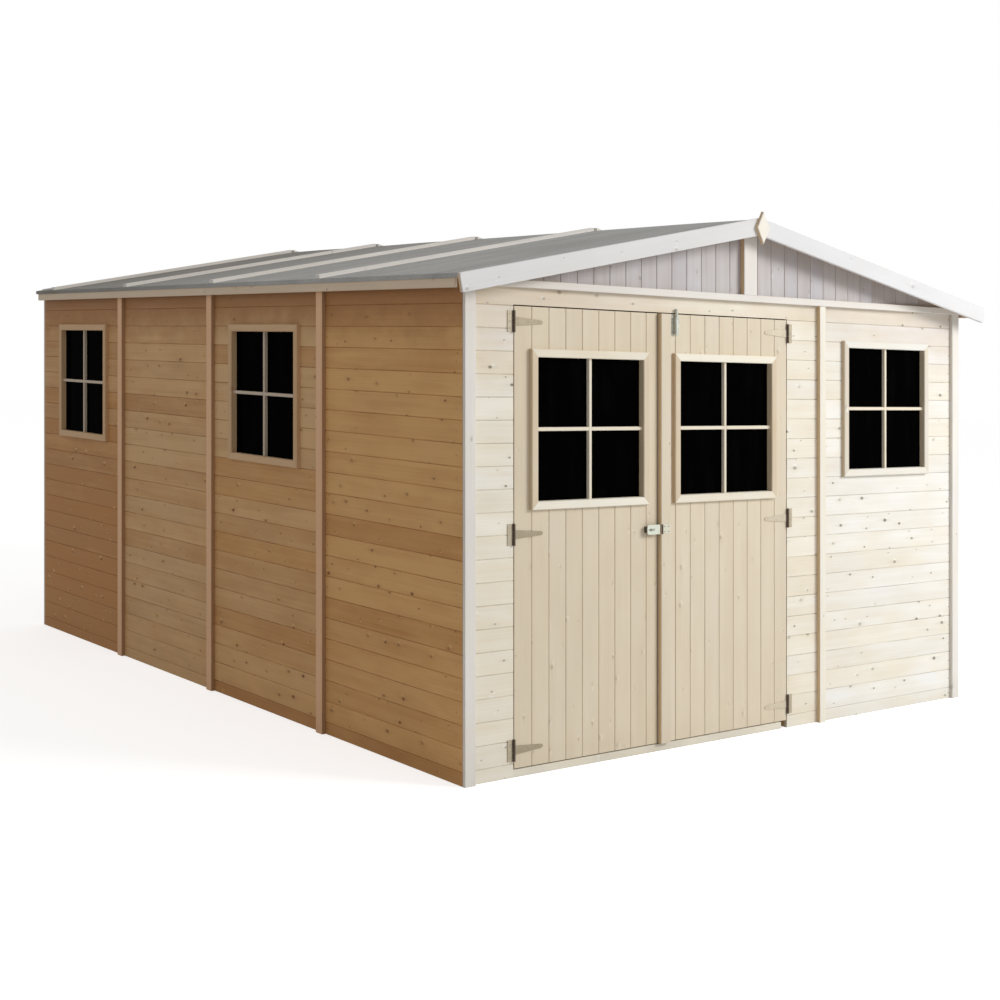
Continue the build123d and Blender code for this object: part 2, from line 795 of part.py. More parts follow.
# bolt near the top of the right leaf: back plate, rounded case, rod and knob
with BuildPart() as top_bolt:
    bolt_left = right_leaf_free + cover_strip_width + bolt_plate_gap
    bolt_x = bolt_left + bolt_plate_width / 2
    bolt_y = front_face - bolt_stand - bolt_radius
    case_front = bolt_y - bolt_radius - bolt_plate_metal
    plate_levels = (bolt_plate_base, bolt_plate_base + bolt_plate_height)
    plate_faces = (front_face - bolt_plate_metal, front_face)
    block((bolt_left, bolt_left + bolt_plate_width), plate_faces, plate_levels)
    with BuildSketch(Plane.XY.offset(bolt_plate_base + bolt_case_end_gap)) as case:
        with Locations((bolt_x, (case_front + front_face) / 2)):
            Rectangle(bolt_case_width, front_face - case_front)
        fillet(case.vertices().sort_by(Axis.Y)[:2], bolt_case_round)
    extrude(case.sketch, amount=bolt_plate_height - 2 * bolt_case_end_gap)
    with BuildSketch(Plane.XY.offset(bolt_top - bolt_length)) as rod:
        with Locations((bolt_x, bolt_y)):
            Circle(bolt_radius)
    extrude(rod.sketch, amount=bolt_length)
    with BuildSketch(Plane.YZ.offset(bolt_x)) as knob:
        with Locations((bolt_y, bolt_plate_base + bolt_plate_height * bolt_knob_share)):
            Circle(bolt_knob_radius)
    extrude(knob.sketch, amount=bolt_case_width / 2 + bolt_knob_length)
save(top_bolt, "top_bolt")
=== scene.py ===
import math
import random
from collections import namedtuple

import bmesh
import bpy
from bpy.props import FloatProperty, FloatVectorProperty, PointerProperty
from mathutils import Matrix, Vector


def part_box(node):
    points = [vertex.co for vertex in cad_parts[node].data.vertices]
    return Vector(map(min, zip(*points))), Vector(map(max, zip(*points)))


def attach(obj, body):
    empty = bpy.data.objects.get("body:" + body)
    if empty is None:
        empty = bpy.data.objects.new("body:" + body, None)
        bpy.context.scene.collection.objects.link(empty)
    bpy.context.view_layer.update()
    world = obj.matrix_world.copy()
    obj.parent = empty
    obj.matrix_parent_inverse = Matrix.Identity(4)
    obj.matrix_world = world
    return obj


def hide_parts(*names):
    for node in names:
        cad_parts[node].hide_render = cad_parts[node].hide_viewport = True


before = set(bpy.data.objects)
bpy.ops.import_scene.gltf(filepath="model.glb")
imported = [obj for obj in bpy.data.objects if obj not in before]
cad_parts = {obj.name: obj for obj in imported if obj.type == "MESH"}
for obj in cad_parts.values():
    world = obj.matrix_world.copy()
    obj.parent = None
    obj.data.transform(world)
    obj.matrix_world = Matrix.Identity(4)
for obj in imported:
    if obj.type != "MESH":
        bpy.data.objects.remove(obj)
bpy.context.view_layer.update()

bl_info = {
    "name": "Garden shed dressing",
    "version": (1, 0, 0),
    "blender": (4, 5, 0),
    "location": "3D View > Sidebar > Shed",
    "description": "Boards, windows, ironwork and roofing for a wooden garden shed",
    "category": "Object",
}


def length(default):
    """A size in metres that a user may change."""
    return FloatProperty(default=default, min=0.0, unit="LENGTH")


def spot(*default):
    """A place in metres that a user may change."""
    return FloatVectorProperty(default=default, subtype="XYZ", unit="LENGTH")


def strength(default):
    """A strength that a user may change."""
    return FloatProperty(default=default, min=0.0)


def colour(*screen):
    """A colour that a user may change, given as it looks on a screen, 0 to 255, and kept in linear values."""
    shares = [value / 255 for value in screen]
    linear = tuple(s / 12.92 if s <= 0.04045 else ((s + 0.055) / 1.055) ** 2.4 for s in shares)
    return FloatVectorProperty(default=linear, size=3, min=0.0, max=1.0, subtype="COLOR")


class ShedSizes(bpy.types.PropertyGroup):
    """Sizes of the boards, bars and fixings that the solids leave out."""

    # What a board shows of its width, and the cut board that a wall, door, gable or roof begins with.
    wall_board: length(0.0893)
    wall_first: length(0.0533)
    upright_board: length(0.088)
    left_door_first: length(0.088)
    right_door_first: length(0.014)
    gable_first: length(0.034)
    deck_board: length(0.095)
    deck_first: length(0.057)
    # Bevels of the joints and of eased edges.
    vee: length(0.0026)
    trim_ease: length(0.0016)
    framing_ease: length(0.0015)
    deck_ease: length(0.0025)
    ledge_ease: length(0.004)
    strip_ease: length(0.003)
    casing_ease: length(0.003)
    bar_ease: length(0.002)
    batten_ease: length(0.002)
    barge_ease: length(0.002)
    finial_ease: length(0.0025)
    # Doors and windows; a stand is how far a piece is before the wall's face.
    leaf_thickness: length(0.018)
    ledge_height: length(0.095)
    ledge_inset: length(0.025)
    casing_width: length(0.033)
    casing_stand: length(0.018)
    lining_thickness: length(0.018)
    bar_width: length(0.015)
    bar_stand: length(0.004)
    bar_behind_glass: length(0.008)
    glass_depth: length(0.012)
    # The roof: how far the felt lifts, the margin where it lies down again, its battens and the barge boards.
    felt_wave: length(0.0022)
    felt_margin: length(0.25)
    batten_thickness: length(0.016)
    barge_depth: length(0.075)
    barge_round: length(0.009)
    # Ironwork: radii of knuckles and heads, and how far screws and nails are from an edge.
    # The knuckle radii also set how far round each pin the painted shade reaches.
    knuckle: length(0.0055)
    hasp_knuckle: length(0.0035)
    # The hasp's two stands bound the band of depths off the wall's face that is kept free of painted shade.
    hasp_stand: length(0.0228)
    hasp_flap_stand: length(0.0197)
    plate_thickness: length(0.003)
    plate_screw: length(0.0038)
    plate_screw_side: length(0.010)
    plate_screw_end: length(0.016)
    small_screw: length(0.00304)
    nail: length(0.0026)
    side_nail_edge: length(0.040)
    front_nail_edge: length(0.064)
    back_nail_edge: length(0.075)


class ShedColours(bpy.types.PropertyGroup):
    """Clear wood, late wood (dark) and knots of each kind of board, and the felt, metal and glass."""

    front_pale: colour(238, 236, 226)
    front_dark: colour(221, 211, 187)
    front_knot: colour(112, 102, 80)
    # The side boards are darker and warmer than the front boards partly as painted shade of the shaded sides and partly
    # as their own tone.
    side_pale: colour(214, 171, 114)
    side_dark: colour(180, 130, 77)
    side_knot: colour(100, 48, 12)
    door_pale: colour(225, 215, 195)
    door_dark: colour(205, 188, 159)
    door_knot: colour(132, 100, 68)
    gable_pale: colour(202, 201, 203)
    gable_dark: colour(174, 164, 158)
    gable_knot: colour(128, 104, 84)
    trim_pale: colour(234, 231, 224)
    trim_dark: colour(214, 207, 196)
    barge_pale: colour(226, 227, 228)
    barge_dark: colour(209, 206, 202)
    barge_knot: colour(140, 126, 112)
    finial_pale: colour(234, 231, 224)
    finial_dark: colour(238, 230, 212)
    casing_pale: colour(238, 233, 215)
    casing_dark: colour(206, 188, 158)
    wall_casing_pale: colour(231, 231, 221)
    wall_casing_dark: colour(212, 202, 184)
    # The side casings and side bars are darker than the front ones partly as painted shade of the shaded sides and
    # partly as their own tone.
    side_casing_pale: colour(211, 177, 137)
    side_casing_dark: colour(194, 160, 120)
    bar_pale: colour(238, 230, 212)
    bar_dark: colour(220, 207, 181)
    side_bar_pale: colour(206, 190, 172)
    side_bar_dark: colour(189, 172, 149)
    # The battens of the sides and back are darker partly as painted shade and partly as their own tone.
    batten_pale: colour(235, 194, 155)
    batten_dark: colour(216, 171, 130)
    fascia_pale: colour(226, 207, 182)
    fascia_dark: colour(204, 182, 154)
    framing_pale: colour(214, 186, 146)
    framing_dark: colour(188, 152, 108)
    knot: colour(96, 62, 36)
    # Painted shade for the narrow side faces of trim, casings, barge boards, finial and battens.
    sawn: colour(208, 172, 124)
    casing_edge: colour(197, 177, 146)
    batten_edge: colour(152, 118, 86)
    # Painted shade below the eaves.
    eave_shade_brown: colour(162, 112, 68)
    felt_pale: colour(194, 193, 189)
    felt_dark: colour(146, 145, 142)
    felt_aged: colour(110, 102, 90)
    bright_pale: colour(206, 210, 196)
    bright_dark: colour(150, 152, 148)
    zinc_pale: colour(204, 193, 172)
    zinc_dark: colour(184, 171, 148)
    tarnish_pale: colour(162, 152, 130)
    tarnish_dark: colour(148, 132, 108)
    # Dark brown for real stains and screws, and for the painted shade round hinge pins and about the hasp.
    stain: colour(58, 36, 22)
    # Near-black glass, painted shade of the dark inside.
    glass: colour(3, 3, 3)


class ShedStage(bpy.types.PropertyGroup):
    """The view, the floor and the lamps."""

    # yaw turns the view from straight at the doors, drop shifts it and lean shears it upright.
    eye: spot(-5.0941, -6.7841, 1.6345)
    yaw: FloatProperty(default=0.6636, unit="ROTATION")
    lens: FloatProperty(default=56.403, min=1.0)
    drop: FloatProperty(default=-0.14213)
    lean: FloatProperty(default=0.0271)
    lamp: spot(5.4, -8.4, 5.2)
    lamp_aim: spot(0.3, -2.0, 1.0)
    lamp_width: length(4.0)
    lamp_height: length(3.0)
    lamp_power: strength(600.0)
    sky: strength(0.46)
    floor_reach: length(40.0)
    floor_gap: length(0.0005)
    floor_pale: strength(0.80)
    floor_glow: strength(0.63)


def tone(name, share=1.0):
    """One of the shed's colours, or a share of it, with its opacity."""
    return (*(share * value for value in getattr(bpy.context.scene.shed_colours, name)), 1.0)


class Nodes:
    """Adds nodes to one shader tree, so that a finish reads as steps between values and colours."""

    def __init__(self, tree):
        self.tree = tree

    def add(self, kind, sockets=None, **settings):
        """Add a node, set it, fill its sockets with values or links and give its outputs."""
        made = self.tree.nodes.new("ShaderNode" + kind)
        for name, value in settings.items():
            setattr(made, name, value)
        for key, value in (sockets or {}).items():
            if isinstance(value, bpy.types.NodeSocket):
                self.tree.links.new(value, made.inputs[key])
            else:
                made.inputs[key].default_value = value
        return made.outputs

    def math(self, operation, *values, clamp=False):
        """One step of arithmetic between values."""
        return self.add("Math", dict(enumerate(values)), operation=operation, use_clamp=clamp)[0]

    def times(self, first, second, clamp=False):
        """One value times another."""
        return self.math("MULTIPLY", first, second, clamp=clamp)

    def plus(self, first, second, clamp=False):
        """One value and another."""
        return self.math("ADD", first, second, clamp=clamp)

    def line(self, value, gain, start, clamp=False):
        """A value scaled and then moved."""
        return self.math("MULTIPLY_ADD", value, gain, start, clamp=clamp)

    def centred(self, value, gain):
        """A value from 0 to 1 scaled and spread evenly to both sides of nothing."""
        return self.line(value, gain, -gain / 2)

    def ramped(self, value, low, high, bottom=0.0, top=1.0):
        """A value carried smoothly from one range to another."""
        sockets = {0: value, 1: low, 2: high, 3: bottom, 4: top}
        return self.add("MapRange", sockets, interpolation_type="SMOOTHSTEP")[0]

    def fading(self, value, near, far, full=1.0):
        """Full up to the near limit of a value and nothing past the far one."""
        return self.ramped(value, near, far, full, 0.0)

    def blended(self, amount, first, second, blend_type="MIX"):
        """A colour between two colours."""
        sockets = {0: amount, 6: first, 7: second}
        return self.add("Mix", sockets, data_type="RGBA", blend_type=blend_type)[2]

    def vector(self, operation, first, second=(0, 0, 0)):
        """One step between two places, which gives a place or a distance."""
        return self.add("VectorMath", {0: first, 1: second}, operation=operation)

    def stretched(self, place, scale):
        """A place with each of its directions scaled."""
        return self.vector("MULTIPLY", place, scale)[0]

    def split(self, place):
        """The three measures of a place."""
        return self.add("SeparateXYZ", {0: place})

    def noise(self, place, stretch=None, scale=1.0, detail=2.0, **more):
        """Soft random patches, 0 to 1."""
        place = self.stretched(place, stretch) if stretch else place
        more = {name.title(): value for name, value in more.items()}
        return self.add("TexNoise", {"Vector": place, "Scale": scale, "Detail": detail, **more})[0]

    def group(self, name, sockets):
        """A shared node group, built the first time that it is asked for."""
        makers = {"Softwood": softwood_group, "Rain splash": splash_group, "Galvanised": zinc_group}
        return self.add("Group", sockets, node_tree=bpy.data.node_groups.get(name) or makers[name]())


class Group(Nodes):
    """A new node group; given holds what goes in and put fills what comes out."""

    def __init__(self, name, outputs, **inputs):
        super().__init__(bpy.data.node_groups.new(name, "ShaderNodeTree"))
        sockets = [("INPUT", label, kind) for kind, labels in inputs.items() for label in labels]
        sockets += [("OUTPUT", label, "Color" if label == "Color" else "Float") for label in outputs]
        for way, label, kind in sockets:
            self.tree.interface.new_socket(label, in_out=way, socket_type="NodeSocket" + kind)
        self.given = self.tree.nodes.new("NodeGroupInput").outputs
        self.ends = self.tree.nodes.new("NodeGroupOutput").inputs

    def put(self, **results):
        """Link the results and hand the group over."""
        for label, value in results.items():
            self.tree.links.new(value, self.ends[label])
        return self.tree


class Finish(Nodes):
    """A new material, with the place on the shed that its patterns follow."""

    def __init__(self, name):
        self.material = bpy.data.materials.new(name)
        self.material.use_nodes = True
        super().__init__(self.material.node_tree)
        self.tree.nodes.clear()
        self.place = self.add("TexCoord")["Object"]

    def coat(self, colour, roughness, height, strength, depth, **plain):
        """Bring colour, roughness and bumps to the shader, with its plain values, and hand the material over."""
        bump = self.add("Bump", {"Strength": strength, "Distance": depth, "Height": height})[0]
        sockets = {"Base Color": colour, "Roughness": roughness, "Normal": bump}
        sockets.update({name.replace("_", " "): value for name, value in plain.items()})
        shader = self.add("BsdfPrincipled", sockets)
        self.add("OutputMaterial", {"Surface": shader[0]})
        return self.material


def softwood_group():
    """Grain, knots, board tone and shaded joints of planed softwood."""
    n = Group(
        "Softwood", ("Color", "Roughness", "Height"), Vector=("Grain", "Board"), Color=("Pale", "Dark", "Knot"),
        Float=("Figure", "Knots", "Depth", "Spread", "Joint"),
    )
    given, grain = n.given, n.given["Grain"]
    board_tone, board_hue, in_joint = n.split(given["Board"])

    # Scattered knots: luck says which of them are there, how wide and how dark they are.
    around = n.stretched(grain, (6.4, 9.6, 0.0))
    spots = n.add("TexVoronoi", {"Vector": around, "Scale": 1.0, "Randomness": 0.95}, voronoi_dimensions="2D")
    chance, width, force = n.add("SeparateColor", {0: spots["Color"]})
    present = n.math("LESS_THAN", chance, given["Knots"])
    radius = n.line(n.math("POWER", width, 2.0), 0.062, 0.026)
    ragged = n.noise(grain, (48, 70, 0), scale=5.0)
    reach = n.plus(n.math("DIVIDE", spots["Distance"], radius), n.centred(ragged, 0.9))
    core = n.times(n.fading(reach, 0.5, 1.2), present)
    halo = n.times(n.fading(reach, 0.9, 3.4), present)
    away = n.vector("SUBTRACT", around, spots["Position"])[0]
    drawn_out = n.vector("LENGTH", n.stretched(away, (0.28, 1.5, 0.0)))["Value"]
    streak = n.times(n.fading(n.math("DIVIDE", drawn_out, radius), 0.5, 1.9), present)

    # Fine and broad lines that swerve round the knots, over soft blotches.
    swerve = n.add("CombineXYZ", {1: n.times(halo, 0.012)})[0]
    flow = n.vector("ADD", grain, swerve)[0]
    fine = n.noise(flow, (1.5, 120, 120), roughness=0.6)
    broad = n.noise(flow, (1.1, 22, 22), distortion=0.6)
    blotch = n.noise(grain, (3.2, 9, 9))
    patches = n.noise(grain, (4.5, 6, 6))
    lines = n.plus(n.plus(n.centred(fine, 0.8), n.centred(broad, 1.1)), n.centred(blotch, 1.6))
    toned = n.times(n.plus(board_tone, -0.5), given["Spread"])
    shade = n.line(lines, given["Figure"], n.plus(toned, 0.36), clamp=True)
    wood = n.blended(shade, given["Pale"], given["Dark"])

    # Each board is a little warmer or cooler than the next, and so are its patches.
    hue = n.plus(n.centred(patches, 0.7), board_hue, clamp=True)
    warm, cool = (1.05, 0.975, 0.90, 1.0), (0.96, 1.06, 1.40, 1.0)
    wood = n.blended(given["Spread"], wood, n.blended(hue, warm, cool), "MULTIPLY")
    wood = n.blended(n.times(halo, 0.16), wood, given["Dark"])

    # A pale fleck beside each knot, then the knot with its streak, then the open joints.
    aside = n.add("CombineXYZ", {0: n.centred(force, 0.22), 1: n.centred(width, 0.22)})[0]
    beside = n.vector("DISTANCE", n.stretched(away, (1, 1, 0)), aside)["Value"]
    fleck = n.plus(n.math("DIVIDE", beside, n.plus(radius, 0.012)), n.centred(ragged, 1.4))
    wood = n.blended(n.times(n.fading(fleck, 0.5, 1.3, 0.8), present), wood, given["Pale"])
    strong = n.times(n.line(force, 0.7, 0.3), given["Depth"])
    wood = n.blended(n.times(n.times(streak, strong), 0.1), wood, given["Knot"])
    wood = n.blended(n.times(core, strong), wood, given["Knot"])
    open_joint = n.times(in_joint, n.ramped(patches, 0.35, 0.65, 0.3, 1.3))
    wood = n.blended(n.times(open_joint, given["Joint"], clamp=True), wood, given["Knot"])
    bumps = n.line(core, -0.6, n.line(broad, 0.4, fine))
    return n.put(Color=wood, Roughness=n.line(fine, 0.25, 0.52), Height=bumps)


def splash_group():
    """Soft dirt that rain throws up on the foot of a wall, and worn clouds above it."""
    n = Group("Rain splash", ("Color",), Vector=("Place",), Color=("Color", "Dirt"), Float=("Amount",))
    place, amount = n.given["Place"], n.given["Amount"]
    ragged = n.line(n.noise(place, scale=7.0, detail=4.0), -0.16, n.plus(n.split(place)[2], 0.04))
    dirty = n.times(n.fading(ragged, -0.05, 0.14), amount)
    worn = n.times(n.ramped(n.noise(place, scale=1.7, detail=3.0), 0.5, 0.8, 0.0, 0.5), amount)
    return n.put(Color=n.blended(n.math("MAXIMUM", dirty, worn), n.given["Color"], n.given["Dirt"]))


def zinc_group():
    """Dull spangle of galvanised metal with brown stains."""
    n = Group(
        "Galvanised", ("Color", "Roughness", "Height"), Vector=("Place",), Color=("Pale", "Dark", "Stain"),
        Float=("Stained",),
    )
    given, place = n.given, n.given["Place"]
    spangle = n.add("TexVoronoi", {"Vector": place, "Scale": 210.0})
    glint, dull, _ = n.add("SeparateColor", {0: spangle["Color"]})
    smears = n.noise(place, scale=46.0, detail=4.0)
    metal = n.blended(n.line(glint, 0.5, n.times(smears, 0.4)), given["Pale"], given["Dark"])
    brown = n.times(n.ramped(smears, 0.38, 0.62), given["Stained"])
    roughness = n.line(dull, 0.14, n.line(brown, 0.25, 0.34))
    return n.put(Color=n.blended(brown, metal, given["Stain"]), Roughness=roughness, Height=smears)


# A planed softwood. tones names its pair of colours. figure is how strong the grain is, knots how many there are, depth
# how dark they are, spread how far boards differ, joint how dark the joints are and dirt how much rain has thrown up.
# heart is the colour of the knots. Next comes the way that the narrow faces with painted shade face, and edge is the
# colour of that painted shade. Last comes how far below the roof the painted shade of the eaves reaches, how strongly,
# and on which hand it is stronger.
Wood = namedtuple(
    "Wood", "tones figure knots depth spread joint dirt heart sawn edge shelter",
    defaults=("knot", None, "sawn", None),
)
sideways, lengthways = (1, 0, 0), (0, 1, 0)
woods = {
    "Front boards": Wood("front", 0.6, 0.74, 0.9, 0.45, 0.4, 0.14, "front_knot", shelter=(0.5, 0.2, 0)),
    "Side boards": Wood("side", 0.55, 0.76, 0.88, 0.7, 0.46, 0.2, "side_knot", shelter=(0.3, 0.88, 0)),
    "Gable boards": Wood("gable", 0.5, 0.42, 0.6, 0.4, 0.42, 0.25, "gable_knot", shelter=(0.2, 0.06, 1)),
    "Door boards": Wood("door", 0.32, 0.6, 0.36, 0.2, 0.24, 0.1, "door_knot"),
    "Cover strip": Wood("door", 0.32, 0.3, 0.4, 0.2, 0.1, 0.1, sawn=sideways),
    "Casings": Wood("casing", 0.35, 0.22, 0.5, 0.5, 0.1, 0.1, sawn=sideways, edge="casing_edge"),
    "Front casings": Wood("wall_casing", 0.35, 0.22, 0.5, 0.5, 0.1, 0.1, sawn=sideways, edge="casing_edge"),
    "Side casings": Wood("side_casing", 0.35, 0.2, 0.6, 0.3, 0.12, 0.1),
    "Bars": Wood("bar", 0.35, 0.15, 0.4, 0.2, 0.1, 0.1),
    "Side bars": Wood("side_bar", 0.35, 0.15, 0.4, 0.2, 0.1, 0.1),
    "Trim": Wood("trim", 0.4, 0.34, 0.5, 0.25, 0.1, 0.15),
    "Gable posts": Wood("trim", 0.35, 0.2, 0.4, 0.2, 0.1, 0.1, sawn=sideways),
    "Front batten": Wood("front", 0.4, 0.4, 0.5, 0.3, 0.1, 0.1, sawn=sideways),
    "Side trim": Wood("batten", 0.35, 0.3, 0.7, 0.3, 0.1, 0.15, sawn=lengthways, edge="batten_edge"),
    "Back trim": Wood("batten", 0.35, 0.3, 0.7, 0.3, 0.1, 0.15, sawn=sideways, edge="batten_edge"),
    "Fascias": Wood("fascia", 0.35, 0.3, 0.6, 0.3, 0.1, 0.1),
    "Framing": Wood("framing", 0.6, 0.4, 0.8, 0.6, 0.25, 0.3),
    "Barge boards": Wood("barge", 0.3, 0.3, 0.6, 0.2, 0.1, 0.08, "barge_knot", sawn=sideways),
    "Finial": Wood("finial", 0.3, 0.1, 0.3, 0.2, 0.1, 0.0, sawn=sideways),
}


def wood(name):
    """One of the softwoods, for boards that carry their own grain."""
    if name in bpy.data.materials:
        return bpy.data.materials[name]
    kind = woods[name]
    n = Finish(name)
    grain, board = (n.add("Attribute", attribute_name=label)["Vector"] for label in ("grain", "board"))
    pale, dark = kind.tones + "_pale", kind.tones + "_dark"
    planed = n.group("Softwood", {
        "Grain": grain, "Board": board, "Pale": tone(pale), "Dark": tone(dark), "Knot": tone(kind.heart),
        "Figure": kind.figure, "Knots": kind.knots, "Depth": kind.depth, "Spread": kind.spread, "Joint": kind.joint,
    })
    sockets = {"Place": n.place, "Color": planed["Color"], "Dirt": tone(dark, 0.62), "Amount": kind.dirt}
    finished = n.group("Rain splash", sockets)["Color"]
    # Painted shade on the narrow faces that face one way, in the edge colour.
    if kind.sawn:
        facing = n.vector("DOT_PRODUCT", n.add("TexCoord")["Normal"], kind.sawn)["Value"]
        shaded_side = n.ramped(n.math("ABSOLUTE", facing), 0.7, 0.9, 0.0, 0.8)
        finished = n.blended(shaded_side, finished, tone(kind.edge))
    # Painted shade under the eaves: browner near the roof line, fading lower down, stronger on one hand.
    if kind.shelter:
        reach, strength, hand = kind.shelter
        x, _, z = n.split(n.place)
        roof = n.line(n.math("ABSOLUTE", x), -roof_slope, roof_peak)
        ragged = n.noise(grain, scale=9.0, detail=3.0)
        below = n.line(ragged, -0.5 * reach, n.math("SUBTRACT", roof, z))
        brown = n.fading(below, 0.0, 0.75 * reach, strength)
        if hand:
            brown = n.times(brown, n.ramped(n.times(x, hand), -0.2, 0.2, 0.1, 1.0))
        finished = n.blended(brown, finished, tone("eave_shade_brown"))
    return n.coat(finished, planed["Roughness"], planed["Height"], 0.22, 0.0012, Specular_IOR_Level=0.25)


def zinc(name, pale, dark, stained, pins=(), knuckle=0.0, shade_depths=None):
    """A galvanised finish, more or less stained, with painted shade round its upright pins and where it stands off its
    plate's face.
    """
    n = Finish(name)
    stain = tone("stain")
    sockets = {"Place": n.place, "Pale": tone(pale), "Dark": tone(dark), "Stain": stain, "Stained": stained}
    spangled = n.group("Galvanised", sockets)
    finished = spangled["Color"]
    # Painted shade round each upright pin, where the knuckle stands in shade.
    for x, y in pins:
        away = n.vector("DISTANCE", n.stretched(n.place, (1, 1, 0)), (x, y, 0))["Value"]
        finished = n.blended(n.fading(away, 1.15 * knuckle, 1.4 * knuckle, 0.92), finished, stain)
    # Painted shade on what lies behind the flap's depth and in front of it.
    if shade_depths:
        front, back = (front_face - stand for stand in shade_depths)
        soft = 0.0003
        depth = n.split(n.place)[1]
        behind = n.ramped(depth, back - soft, back + soft, 0.0, 0.9)
        before = n.fading(depth, front - soft, front, 0.7)
        finished = n.blended(n.math("MAXIMUM", behind, before), finished, stain)
    return n.coat(finished, spangled["Roughness"], spangled["Height"], 0.15, 0.0006, Metallic=0.3)


def felt_finish():
    """Grey roofing felt with mineral chips and soft patches, dusty toward the back."""
    n = Finish("Roofing felt")
    chips = n.add("TexVoronoi", {"Vector": n.place, "Scale": 420.0})
    fleck = n.add("SeparateColor", {0: chips["Color"]})[0]
    patches = n.noise(n.place, (0.6, 2.2, 1.0), scale=2.6, detail=5.0)
    amount = n.line(patches, 1.1, n.line(fleck, 0.5, -0.3), clamp=True)
    mixed = n.blended(amount, tone("felt_dark"), tone("felt_pale"))
    aged = n.times(n.ramped(n.split(n.place)[1], 0.5 * front_face, back_face, 0.0, 1.35), patches)
    mixed = n.blended(aged, mixed, tone("felt_aged"))
    return n.coat(mixed, n.line(fleck, 0.2, 0.72), chips["Distance"], 0.5, 0.0009, Specular_IOR_Level=0.3)


def glass_finish():
    """Window glass painted near black, as painted shade of the dark inside, with faint streaks of dust."""
    n = Finish("Window glass")
    streaks = n.noise(n.place, (14, 14, 3), detail=5.0)
    # The glass's near-black colour is painted shade of the dark inside.
    dark = tone("glass")
    dust = (*(0.0006 + 1.5 * value for value in dark[:3]), 1.0)
    tinted = n.blended(n.ramped(streaks, 0.45, 0.75), dark, dust)
    return n.coat(
        tinted, n.line(streaks, 0.12, 0.02), streaks, 0.04, 0.001,
        IOR=1.05, Specular_IOR_Level=0.004, Transmission_Weight=0.1,
    )


def sides(first, count):
    """Faces between a ring of corners and the next ring of as many."""
    return [
        [first + step, first + after, first + count + after, first + count + step]
        for step, after in zip(range(count), (*range(1, count), 0))
    ]


def inset(outline, amount):
    """A convex outline drawn in by an even margin."""
    middle = sum((Vector(point) for point in outline), Vector((0, 0))) / len(outline)
    drawn = []
    for index, point in enumerate(outline):
        here = Vector(point)
        before = (here - Vector(outline[index - 1])).normalized()
        after = (Vector(outline[(index + 1) % len(outline)]) - here).normalized()
        normals = [Vector((-way.y, way.x)) for way in (before, after)]
        normals = [side if side.dot(middle - here) > 0 else -side for side in normals]
        both = (normals[0] + normals[1]).normalized()
        drawn.append(here + both * (amount / max(both.dot(normals[0]), 0.3)))
    return drawn


